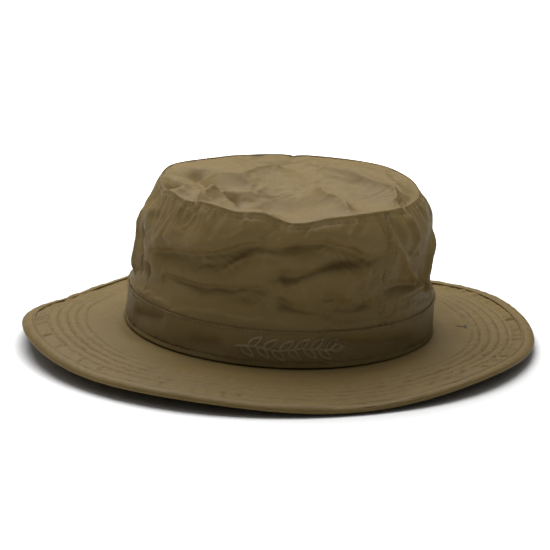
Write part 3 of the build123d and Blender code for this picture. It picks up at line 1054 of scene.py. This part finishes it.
def brim_sheet(name, drop, facing, side_seed):
    """One cloth of the brim: its shown face carries the relief; its hidden face is plain."""
    angles = even_angles(BRIM_COLUMNS)
    shown = np.linspace(BRIM_INSET, BRIM_WIDTH + BRIM_LAP, BRIM_ROWS)[:, None]
    relief = brim_relief(angles[None, :], shown, side_seed) * smooth_step((shown - BRIM_INSET) / (2 * MM))
    hidden = shown[::-6]
    far = drop + BRIM_PLY if facing > 0 else drop
    near = drop if facing > 0 else drop + BRIM_PLY
    face = brim_point(angles[None, :], shown, near - facing * relief)
    back = brim_point(angles[None, :], hidden, far)
    setbacks = np.concatenate([shown, hidden])
    grid = np.concatenate([face, back])
    if facing < 0:
        grid, setbacks = grid[::-1], setbacks[::-1]
    turned = np.append(angles, WHOLE_TURN)
    loop = np.concatenate([setbacks, setbacks[:1]])
    uv = stacked((EDGE_X - loop) * np.cos(turned), (EDGE_Y - loop) * np.sin(turned))
    piece = grid_piece(name, grid, uv, closed=True, closed_rows=True, lean=False)
    surface = Surface(face if facing > 0 else face[::-1])
    return piece, surface


def brim_row(setback):
    """Row of the brim's grid at a distance in from the edge."""
    return (setback - BRIM_INSET) / (BRIM_WIDTH + BRIM_LAP - BRIM_INSET) * (BRIM_ROWS - 1)


# (distance in from the brim's edge, height above the brim's top face) in mm
BINDING_PROFILE = np.array([
    (8.0, 0.1), (8.05, 0.6), (7.9, 1.0), (7.5, 1.12), (7.0, 0.85), (6.5, 0.5), (6.0, 0.85), (5.2, 1.15),
    (4.2, 1.25), (3.2, 1.15), (2.2, 0.85), (1.3, 0.4), (0.6, -0.15), (0.15, -0.75), (0, -1.3), (0.15, -1.9),
    (0.6, -2.5), (1.3, -2.95), (2.2, -3.2), (3.2, -3.3), (4.4, -3.3), (5.6, -3.25), (6.5, -3.0),
    (7.2, -3.15), (7.8, -3.15), (8.0, -2.9), (7.9, -2.66), (4.5, -2.64), (1.4, -2.6), (0.8, -1.3),
    (1.4, 0.02), (4.5, 0.06),
])
BINDING_STITCHED = (5, 22)      # points of the profile with a row of stitches, above and below
binding_pucker = ring_noise(91, 235)
binding_drift = ring_noise(92, 40)


def binding_piece():
    """The folded tape round the brim's edge, pulled into small ropes by its stitching."""
    columns = BRIM_COLUMNS
    angles = even_angles(columns)[None, :]
    setbacks = BINDING_PROFILE[:, 0][:, None] * MM
    rises = BINDING_PROFILE[:, 1][:, None] * MM
    outer = np.arange(len(BINDING_PROFILE))[:, None] < len(BINDING_PROFILE) - 6
    middle = np.sin(np.clip((8 * MM - setbacks) / (8 * MM), 0, 1) * math.pi) ** 0.7
    rope = BINDING_ROPE * end_strength(angles) * binding_pucker(angles + setbacks * 3) * (0.3 + 0.7 * middle)
    rope = rope + BINDING_SWELL * binding_drift(angles) * middle
    rope = rope * outer * (rises > -BRIM_PLIES / 2)
    grid = brim_point(angles, setbacks, -(rises + rope))
    uv = swept_uv(BINDING_PROFILE, columns, math.pi * (EDGE_X + EDGE_Y))
    piece = grid_piece("brim_binding_tape", grid[::-1], uv[::-1], closed=True, closed_rows=True, lean=False)
    return piece, grid


# ---- Embroidery: satin stitches laid across a stroke ----
def satin(route):
    """Starts and ends, in the plane of the cloth, of threads laid across a route of 2-D points."""
    run = np.concatenate([[0], np.cumsum(np.linalg.norm(np.diff(route, axis=0), axis=1))])
    at = np.arange(SATIN_PITCH / 2, run[-1], SATIN_PITCH)

    def read(places):
        return stacked(*(np.interp(places, run, values) for values in route.T))

    heading = read(at + SATIN_PITCH) - read(at - SATIN_PITCH)
    heading /= np.maximum(np.linalg.norm(heading, axis=1, keepdims=True), 1e-9)
    across = stacked(-heading[:, 1], heading[:, 0]) * STROKE_WIDTH / 2
    reach = across + heading * 0.25 * STROKE_WIDTH
    return read(at) - reach, read(at) + reach


def satin_piece(name, routes, laid, arch, lean=True):
    """Threads laid across every route; laid gives places and normals on the cloth for flat points."""
    starts, ends = (np.concatenate(parts) for parts in zip(*map(satin, routes)))
    low, normal_low = laid(starts)
    high, normal_high = laid(ends)
    return threads(name, low, high, normal_low + normal_high, SATIN_THREAD, arch, lean)


def leaf_outline(base, angle, side):
    """Closed outline of one leaf."""
    share = np.linspace(0, 1, 24)
    half = LEAF_WIDTH / 2 * np.sin(math.pi * share**0.8)
    upper = stacked(share * LEAF_LENGTH, half)
    lower = stacked(share[::-1] * LEAF_LENGTH, -half[::-1])
    x, y = np.concatenate([upper, lower[1:]]).T
    cosine, sine = math.cos(angle * side), math.sin(angle * side)
    return stacked(x * cosine - y * sine, x * sine + y * cosine) + base


def sprig_strokes():
    """Routes of the sprig: a waving stem with pairs of leaves."""
    along = np.linspace(-MOTIF_LENGTH / 2, MOTIF_LENGTH / 2, 90)

    def stem(at):
        return 0.8 * MM * np.sin(at / MOTIF_LENGTH * 4 * math.pi)

    routes = [stacked(along, stem(along))]
    pitch = MOTIF_LENGTH / (LEAF_PAIRS + 1)
    for pair in range(LEAF_PAIRS):
        for side in (1, -1):
            at = -MOTIF_LENGTH / 2 + (pair + 0.6 + 0.22 * side) * pitch
            routes.append(leaf_outline(np.array([at, stem(at)]), LEAF_ANGLE, side))
    end = np.array([MOTIF_LENGTH / 2 - LEAF_LENGTH * 0.8, stem(MOTIF_LENGTH / 2)])
    routes.append(leaf_outline(end, 0, 1))
    return routes


def embroidery(surface, row_of, columns):
    """Threads of the sprig, laid on the hatband's outer face."""

    def laid(flat):
        column = (MOTIF_HEADING + flat[:, 0] / MEAN_RADIUS) / WHOLE_TURN * columns % columns
        return surface.at(row_of(MOTIF_HEIGHT + flat[:, 1]), column, 0.25 * MM)

    return satin_piece("embroidery_sprig", sprig_strokes(), laid, SPRIG_ARCH)


def tack(surface):
    """The bar tack where the innermost row of the brim starts: two dense bars in a T."""
    parametric = math.atan2(math.sin(TACK_HEADING) / EDGE_Y, math.cos(TACK_HEADING) / EDGE_X)
    line = np.linspace(0, TACK_LENGTH, 8)
    routes = [stacked(line - TACK_LENGTH, 0), stacked(0, line - TACK_LENGTH / 2)]

    def laid(flat):
        columns = (parametric + flat[:, 1] / (EDGE_X - TACK_SETBACK)) / WHOLE_TURN * BRIM_COLUMNS
        return surface.at(brim_row(TACK_SETBACK - flat[:, 0]), columns, 0.05 * MM)

    return satin_piece("bar_tack_threads", routes, laid, TACK_ARCH, lean=False)


# ---- Inside the crown ----
def tape_strip(name, surface, rows, columns, lift, closed, length, width):
    """Tape glued to the inner face of the crown: a crowned strip read from the wall's own surface."""
    rows, columns = np.broadcast_arrays(rows, columns)
    across = np.linspace(0, 1, rows.shape[0])[:, None]
    bulge = TAPE_BULGE * np.sin(math.pi * across)
    grid, _ = surface.at(rows, columns, -(lift + bulge))
    count = grid.shape[1]
    along = np.arange(count + closed) / count * length
    uv = stacked(along[None, :], across * width)
    piece = grid_piece(name, grid[::-1], uv[::-1], closed=closed)
    thicken(piece, TAPE_THICKNESS)
    return piece


def label_pieces(hinge):
    """A blank satin label, sewn along its top edge to the inside of the sweatband, and its stitches."""
    rows, columns = 42, 49
    across = np.linspace(-LABEL_WIDTH / 2, LABEL_WIDTH / 2, columns)
    down = np.linspace(LABEL_TOP, LABEL_BOTTOM, rows)[:, None]
    share = np.clip((LABEL_HINGE - down) / (LABEL_HINGE - LABEL_BOTTOM), 0, 1)
    curve = 1.15 * MM * (1 - (across / (LABEL_WIDTH / 2)) ** 2) - 0.75 * MM
    wave = 0.35 * MM * np.sin(across / LABEL_WIDTH * 9 + 1) * share
    face = hinge + curve * (1 - 0.4 * share) - 0.7 * MM * share**2 + wave
    grid = stacked(across, face, down)
    label = grid_piece("care_label_satin", grid, stacked(across, down))
    thicken(label, LABEL_THICKNESS)
    row = (LABEL_TOP - LABEL_STITCHES) / (LABEL_TOP - LABEL_BOTTOM) * (rows - 1)
    line = Surface(grid, closed=False).at(row, np.linspace(1.5, columns - 2.5, 60))
    return label, stitch_piece("label_sewing", [stitches(*line)])


# ---- Materials ----
class Nodes:
    """Short way to add and join the shader nodes of a material or a world."""

    def __init__(self, owner):
        owner.use_nodes = True
        self.tree = owner.node_tree
        self.tree.nodes.clear()

    def add(self, kind, inputs=None, **settings):
        """A new node; its inputs are plain values, sockets or other nodes."""
        node = self.tree.nodes.new(kind)
        for key, value in settings.items():
            setattr(node, key, value)
        for key, value in (inputs or {}).items():
            self.join(value, node.inputs[key])
        return node

    def join(self, value, socket):
        if isinstance(value, bpy.types.Node):
            value = value.outputs[0]
        if isinstance(value, bpy.types.NodeSocket):
            self.tree.links.new(value, socket)
        else:
            socket.default_value = value

    def math(self, operation, first, second=0.0):
        """Sum, product or another plain operation on one or two values."""
        return self.add("ShaderNodeMath", {0: first, 1: second}, operation=operation)

    def noise(self, vector, scale, detail=3.0, roughness=0.55):
        return self.add(
            "ShaderNodeTexNoise", {"Vector": vector, "Scale": scale, "Detail": detail, "Roughness": roughness}
        )

    def ramp(self, value, low, high, low_out, high_out):
        """Maps low to high onto low_out to high_out."""
        return self.add(
            "ShaderNodeMapRange",
            {"Value": value, "From Min": low, "From Max": high, "To Min": low_out, "To Max": high_out},
        )


class MaterialNodes(Nodes):
    """A new material with its surface shader."""

    def __init__(self, name):
        self.material = bpy.data.materials.new(name)
        super().__init__(self.material)
        self.shader = self.add("ShaderNodeBsdfPrincipled")
        self.add("ShaderNodeOutputMaterial", {"Surface": self.shader})

    def tint(self, colour, tone):
        """Base colour: one colour made lighter and darker by a tone."""
        tinted = self.add("ShaderNodeVectorMath", {0: colour, "Scale": tone}, operation="SCALE")
        self.join(tinted, self.shader.inputs["Base Color"])

    def relief(self, *layers):
        """Bump from layers of (strength, distance, height), the finest first."""
        bump = None
        for strength, distance, height in layers:
            inputs = {"Strength": strength, "Distance": distance, "Height": height}
            if bump:
                inputs["Normal"] = bump
            bump = self.add("ShaderNodeBump", inputs)
        self.join(bump, self.shader.inputs["Normal"])

    def finish(self, **values):
        """Sets the shader's plain numbers and gives the material."""
        for name, value in values.items():
            self.shader.inputs[name.replace("_", " ")].default_value = value
        return self.material


def weave_height(nodes, cloth_place, pitch, twill):
    """Height of a weave, 0 to 1: warp and weft threads that pass over and under each other."""
    split_place = nodes.add("ShaderNodeSeparateXYZ", {0: cloth_place})
    warp = nodes.math("MULTIPLY", split_place.outputs[0], math.pi / pitch)
    weft = nodes.math("MULTIPLY", split_place.outputs[1], math.pi / pitch)
    if twill:
        weft = nodes.math("ADD", weft, nodes.math("MULTIPLY", warp, 0.5))
    warp_round = nodes.math("ABSOLUTE", nodes.math("SINE", warp))
    weft_round = nodes.math("ABSOLUTE", nodes.math("SINE", weft))
    over = nodes.math("SINE", nodes.math("MULTIPLY", warp, 0.5))
    over = nodes.math("MULTIPLY", over, nodes.math("SINE", nodes.math("MULTIPLY", weft, 0.5)))
    over = nodes.ramp(over, -0.4, 0.4, 0.0, 1.0)
    mixed = nodes.add("ShaderNodeMix", {0: over.outputs[0], 2: warp_round, 3: weft_round}, data_type="FLOAT")
    return mixed.outputs[0]


def cloth_material(
    name, colour, pitch=0.36 * MM, depth=0.05 * MM, roughness=0.6, sheen=0.0, mottle=0.06, twill=False,
    gloss=0.15,
):
    """Woven cloth: threads at their real size, soft crush marks, colour that varies with dye and wear, and painted
    shade in the dips of the weave.
    """
    nodes = MaterialNodes(name)
    cloth_place = nodes.add("ShaderNodeUVMap", uv_map="cloth").outputs[0]
    solid_place = nodes.add("ShaderNodeTexCoord").outputs["Object"]
    height = weave_height(nodes, cloth_place, pitch, twill)
    broad = nodes.noise(solid_place, 24.0, 4.0)
    crush = nodes.noise(solid_place, 190.0, 5.0, 0.6)
    drawn = nodes.add("ShaderNodeVectorMath", {0: cloth_place, 1: (1.0, 9.0, 1.0)}, operation="MULTIPLY")
    slub = nodes.noise(drawn, 260.0, 2.0)
    tone = nodes.ramp(broad, 0.3, 0.7, 1 - mottle, 1 + mottle)
    tone = nodes.math("MULTIPLY", tone, nodes.ramp(slub, 0.3, 0.7, 0.96, 1.04))
    # painted shade: the colour is darker where the weave's threads dip down and a little lighter on their crowns
    tone = nodes.math("MULTIPLY", tone, nodes.ramp(height, 0.0, 1.0, 0.86, 1.06))
    nodes.tint(colour, tone)
    uneven = nodes.ramp(crush, 0.3, 0.7, roughness - 0.07, roughness + 0.07)
    nodes.join(uneven, nodes.shader.inputs["Roughness"])
    nodes.relief((0.5, depth, height), (0.35, 0.6 * MM, crush))
    return nodes.finish(
        Sheen_Weight=sheen, Sheen_Roughness=0.45, Sheen_Tint=SHEEN_TINT, Specular_IOR_Level=gloss
    )


def thread_material(name, colour, roughness, gloss):
    """Twisted thread: its plies run slantwise round it, with painted shade in the grooves between them."""
    nodes = MaterialNodes(name)
    place = nodes.add("ShaderNodeUVMap", uv_map="cloth").outputs[0]
    solid_place = nodes.add("ShaderNodeTexCoord").outputs["Object"]
    split_place = nodes.add("ShaderNodeSeparateXYZ", {0: place})
    twist = nodes.math("ADD", nodes.math("MULTIPLY", split_place.outputs[0], 0.8), split_place.outputs[1])
    ply = nodes.math("ABSOLUTE", nodes.math("SINE", nodes.math("MULTIPLY", twist, math.pi / (0.22 * MM))))
    wear = nodes.noise(solid_place, 320.0)
    # painted shade: the thread is darker in the grooves between its plies and lighter on their crowns
    tone = nodes.ramp(ply, 0, 1, 0.72, 1.1)
    tone = nodes.math("MULTIPLY", tone, nodes.ramp(wear, 0.3, 0.7, 0.9, 1.1))
    nodes.tint(colour, tone)
    nodes.join(nodes.ramp(ply, 0, 1, roughness + 0.08, roughness - 0.08), nodes.shader.inputs["Roughness"])
    nodes.relief((0.6, 0.06 * MM, ply))
    return nodes.finish(Sheen_Weight=0.15, Specular_IOR_Level=gloss)


def felt_material(name, colour):
    """Non-woven interlining: pressed fibres."""
    nodes = MaterialNodes(name)
    place = nodes.add("ShaderNodeTexCoord").outputs["Object"]
    fibres = nodes.noise(place, 900.0, 6.0, 0.7)
    nodes.tint(colour, nodes.ramp(fibres, 0.3, 0.7, 0.8, 1.1))
    nodes.relief((0.5, 0.1 * MM, fibres))
    return nodes.finish(Roughness=0.9)


def floor_material():
    """White floor with painted shade under the hat and a painted glow towards the edges, so that the background is
    plain white.
    """
    nodes = MaterialNodes("studio_floor")
    place = nodes.add("ShaderNodeTexCoord").outputs["Object"]
    grain = nodes.noise(place, 3.0)
    away = nodes.add("ShaderNodeVectorMath", {0: place}, operation="LENGTH")
    # painted shade: the floor is made darker under the hat, where its shadow falls
    painted_shade = nodes.ramp(away.outputs["Value"], 0.13, 0.17, 0.4, 1.0)
    tone = nodes.math("MULTIPLY", painted_shade, nodes.ramp(grain, 0.3, 0.7, 0.99, 1.01))
    nodes.tint(FLOOR_WHITE, tone)
    # painted glow: the floor gives off light of its own towards the edges
    glow = nodes.ramp(away.outputs["Value"], 0.17, 0.4, 0.0, 0.9)
    nodes.join(glow, nodes.shader.inputs["Emission Strength"])
    return nodes.finish(Roughness=0.85, Emission_Color=(1, 1, 1, 1))


shell_cloth = cloth_material("shell_cloth", OLIVE)
binding_tape = cloth_material("binding_tape", OLIVE, roughness=0.55)
sweatband_cloth = cloth_material(
    "sweatband_cloth", SWEATBAND_KHAKI, pitch=0.45 * MM, roughness=0.75, sheen=0.4, twill=True, gloss=0.2
)
seam_tape_cloth = cloth_material("seam_tape_cloth", TAPE_KHAKI, pitch=0.3 * MM, roughness=0.5, gloss=0.5)
label_satin = cloth_material(
    "label_satin", LABEL_CREAM, pitch=0.22 * MM, depth=0.02 * MM, roughness=0.38, mottle=0.03, gloss=0.5
)
sewing_thread = thread_material("sewing_thread", OLIVE_DARK, 0.55, 0.4)
topstitch_thread = thread_material("topstitch_thread", TOPSTITCH_TAN, 0.5, 0.3)
embroidery_thread = thread_material("embroidery_thread", EMBROIDERY_TAN, 0.45, 0.3)
interlining_felt = felt_material("interlining_felt", FELT_CREAM)


# ---- Assembly ----
def finish_piece(piece, material, slot, *nodes, body="hat"):
    """Gives a piece its material and its body, and hides the CAD nodes that it stands for."""
    piece.data.materials.append(material)
    if body:
        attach(piece, body)
    if nodes:
        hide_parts(*nodes)
    return piece


def finish_stitches(name, node, runs, thread=sewing_thread, lean=True):
    """Makes and finishes the stitches that stand for one CAD node."""
    return finish_piece(stitch_piece(name, runs, lean), thread, "sewing_thread", node)


wall, tip, rim = crown_surfaces()
wall, tip = crown_details(wall, tip, rim)
wall_columns = wall.shape[1]
wall_surface = Surface(wall)
wall_rows_per_metre = (wall.shape[0] - 1) / CROWN_HEIGHT

back_panel = crown_panel("crown_back_panel", wall, 0, wall_columns // 2, 0)
front_panel = crown_panel("crown_front_panel", wall, wall_columns // 2, wall_columns, LAP_COLUMNS)
tip_panel = grid_piece("crown_tip_panel", tip, tip[..., :2].copy())
thicken(tip_panel, CLOTH)
finish_piece(back_panel, shell_cloth, "shell_cloth", "crown_side_back")
finish_piece(front_panel, shell_cloth, "shell_cloth", "crown_side_front")
finish_piece(tip_panel, shell_cloth, "shell_cloth", "crown_tip")

tip_run, side_runs = crown_stitches(wall_surface, wall_columns, wall_rows_per_metre)
finish_stitches("tip_topstitches", "tip_topstitch", [tip_run], topstitch_thread)
finish_stitches("side_seam_stitches", "side_seam_stitching", side_runs, topstitch_thread)

# Tapes glued over the seams, inside the crown
tape_columns = np.arange(0, wall_columns, 2)[None, :]
tape_rows = np.linspace(CROWN_HEIGHT - TAPE_HEIGHT - 1.5 * MM, CROWN_HEIGHT - 1.5 * MM, 9)[:, None]
tip_tape = tape_strip(
    "tip_seam_tape_strip", wall_surface, tape_rows * wall_rows_per_metre, tape_columns,
    CLOTH + TIP_TAPE_GAP, True, TURN, TAPE_HEIGHT,
)
finish_piece(tip_tape, seam_tape_cloth, "binding_tape", "tip_seam_tape")
column_pitch = TURN / wall_columns
for side, middle in (("left", 0), ("right", wall_columns // 2)):
    tape_across = middle + np.linspace(-TAPE_WIDTH / 2, TAPE_WIDTH / 2, 9)[:, None] / column_pitch
    tape_down = np.linspace(1 * MM, CROWN_HEIGHT - TAPE_HEIGHT - 2 * MM, 70)[None, :] * wall_rows_per_metre
    tape = tape_strip(
        f"side_seam_tape_{side}", wall_surface, tape_down, tape_across,
        CLOTH + SIDE_TAPE_GAP, False, CROWN_HEIGHT, TAPE_WIDTH,
    )
    nodes = ["side_seam_tapes"] if side == "left" else []
    finish_piece(tape, seam_tape_cloth, "binding_tape", *nodes)

# Hatband
hatband_profile = band_profile(0.4, BAND_HEIGHT / MM, *HATBAND_FACES, step=0.5, flare=0.7, lip=0.35)
hatband, hatband_grid = band_piece("hatband_cloth", hatband_profile, hatband_relief)
finish_piece(hatband, shell_cloth, "shell_cloth", "hatband")
outer_count = int(np.argmax(hatband_profile[:, 1])) + 1
hatband_surface = Surface(hatband_grid[:outer_count])


def hatband_row(height):
    """Row of the hatband's outer face at a height."""
    return np.interp(height / MM, hatband_profile[:outer_count, 1], np.arange(outer_count))


for name, node, height in (
    ("hatband_lower_stitches", "hatband_lower_stitching", BAND_ROWS[0]),
    ("hatband_upper_stitches", "hatband_upper_stitching", BAND_ROWS[1]),
):
    run = ring_stitches(hatband_surface, hatband_row(height), STITCH_SINK)
    finish_stitches(name, node, [run], topstitch_thread)
sprig = embroidery(hatband_surface, hatband_row, RING_COLUMNS)
finish_piece(sprig, embroidery_thread, "embroidery_thread", "embroidery_motif")

# Sweatband
sweat_profile = band_profile(-2.6, SWEATBAND_HEIGHT / MM, *SWEATBAND_FACES, step=0.8)
sweatband, _ = band_piece("sweatband_cloth_ring", sweat_profile, sweatband_relief)
finish_piece(sweatband, sweatband_cloth, "sweatband_cloth", "sweatband")
inner_angles = even_angles(RING_COLUMNS)[None, :]
inner_rows = 39
inner_heights = np.linspace(0, SWEATBAND_HEIGHT, inner_rows + 1)[:, None]
inner_relief = sweatband_relief(inner_angles, inner_heights)
inner_face = wall_point(inner_angles, inner_heights, SWEATBAND_FACES[1] * MM + inner_relief)
inner_surface = Surface(inner_face[::-1])
sweat_runs = [
    ring_stitches(inner_surface, (1 - height / SWEATBAND_HEIGHT) * inner_rows)
    for height in SWEATBAND_ROWS
]
finish_stitches("sweatband_stitches", "sweatband_stitching", sweat_runs)

# Care label
hinge = frame["joints"][0]
hinge_point = np.array(hinge["pos_m"])
hat_back = to_row([0, 1, 0]) - hat_origin
label_depth = float((hinge_point - hat_origin) @ hat_back)
label, label_sewing = label_pieces(label_depth)
finish_piece(label, label_satin, "label_satin", "care_label", body=None)
finish_piece(label_sewing, sewing_thread, "sewing_thread", "label_stitching")
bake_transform(label)

# Brim
brim_top, top_surface = brim_sheet("brim_top_cloth", 0.0, 1, 0.0)
brim_under, under_surface = brim_sheet("brim_underside_cloth", BRIM_PLIES - BRIM_PLY, -1, 1.3)
finish_piece(brim_top, shell_cloth, "shell_cloth", "brim_top")
finish_piece(brim_under, shell_cloth, "shell_cloth", "brim_underside")
binding, binding_grid = binding_piece()
finish_piece(binding, binding_tape, "binding_tape", "brim_binding")
binding_surface = Surface(binding_grid[::-1])
binding_rows = len(BINDING_PROFILE) - 1 - np.array(BINDING_STITCHED)
binding_runs = [ring_stitches(binding_surface, row) for row in binding_rows]
finish_stitches("binding_stitches", "binding_stitching", binding_runs, lean=False)
row_places = [brim_row(setback) for setback in ROW_SETBACKS]
row_runs = [ring_stitches(top_surface, row) for row in row_places]
row_runs += [ring_stitches(under_surface, BRIM_ROWS - 1 - row) for row in row_places]
finish_stitches("brim_row_stitches", "brim_stitch_rows", row_runs, lean=False)
finish_piece(tack(top_surface), sewing_thread, "sewing_thread", "bar_tack")
interlining = frame["nodes"]["brim_interlining"]
interlining.data.materials.clear()
interlining.data.materials.append(interlining_felt)


# ---- Studio ----
def studio_floor():
    """White table under the hat."""
    half = 4.0
    corners = np.array([(-half, -half, 0), (half, -half, 0), (half, half, 0), (-half, half, 0)], float)
    floor = new_mesh("floor", corners, np.array([[0, 1, 2, 3]]), corners[:, :2])
    floor.data.materials.append(floor_material())


def studio_light():
    """A pale dome, brightest overhead and a little behind the hat, as in a light tent."""
    world = bpy.data.worlds.new("tent")
    bpy.context.scene.world = world
    nodes = Nodes(world)
    brightest = (
        math.sin(TENT_TILT) * math.cos(TENT_HEADING),
        math.sin(TENT_TILT) * math.sin(TENT_HEADING),
        math.cos(TENT_TILT),
    )
    direction = nodes.add("ShaderNodeTexCoord").outputs["Generated"]
    facing = nodes.add("ShaderNodeVectorMath", {0: direction, 1: brightest}, operation="DOT_PRODUCT")
    shaped = nodes.math("POWER", nodes.math("MAXIMUM", facing.outputs["Value"]), TENT_FOCUS)
    strength = nodes.math("ADD", nodes.math("MULTIPLY", shaped, TENT_STRENGTH), TENT_BASE)
    tent = nodes.add("ShaderNodeBackground", {"Strength": strength})
    plain = nodes.add("ShaderNodeBackground", {"Color": (1, 1, 1, 1)})
    seen = nodes.add("ShaderNodeLightPath").outputs["Is Camera Ray"]
    either = nodes.add("ShaderNodeMixShader", {0: seen, 1: tent, 2: plain})
    nodes.add("ShaderNodeOutputWorld", {"Surface": either})


def softbox():
    """Round softbox close above the hat and a little behind it, so that the tip is the brightest."""
    data = bpy.data.lights.new("softbox", "AREA")
    data.shape = "DISK"
    data.size = BOX_SIZE
    data.energy = BOX_POWER
    lamp = bpy.data.objects.new("softbox", data)
    bpy.context.scene.collection.objects.link(lamp)
    place = Vector((BOX_BACK * math.cos(TENT_HEADING), BOX_BACK * math.sin(TENT_HEADING), BOX_HEIGHT))
    lamp.location = place
    lamp.rotation_euler = (place - Vector((0, 0, CROWN_HEIGHT))).to_track_quat("Z", "Y").to_euler()


def studio_camera():
    """Camera at the front left of the hat, a little above it and slightly rolled."""
    right = np.array([math.cos(CAMERA_AZIMUTH), math.sin(CAMERA_AZIMUTH), 0])
    forward = np.array([
        -math.sin(CAMERA_AZIMUTH) * math.cos(CAMERA_ELEVATION),
        math.cos(CAMERA_AZIMUTH) * math.cos(CAMERA_ELEVATION),
        -math.sin(CAMERA_ELEVATION),
    ])
    up = np.cross(right, forward)
    cosine, sine = math.cos(CAMERA_ROLL), math.sin(CAMERA_ROLL)
    right, up = cosine * right + sine * up, cosine * up - sine * right
    aim = np.array([0, 0, AIM_HEIGHT]) + AIM_RIGHT * right + AIM_UP * up
    place = aim - CAMERA_DISTANCE * forward
    data = bpy.data.cameras.new("camera")
    data.lens = CAMERA_LENS
    data.sensor_width = 36
    data.clip_start = 0.01
    camera = bpy.data.objects.new("camera", data)
    bpy.context.scene.collection.objects.link(camera)
    turned = np.eye(4)
    turned[:3, 0], turned[:3, 1], turned[:3, 2], turned[:3, 3] = right, up, -forward, place
    camera.matrix_world = Matrix(turned.tolist())
    bpy.context.scene.camera = camera


studio_floor()
studio_light()
softbox()
studio_camera()
bpy.context.scene.view_settings.view_transform = "Standard"
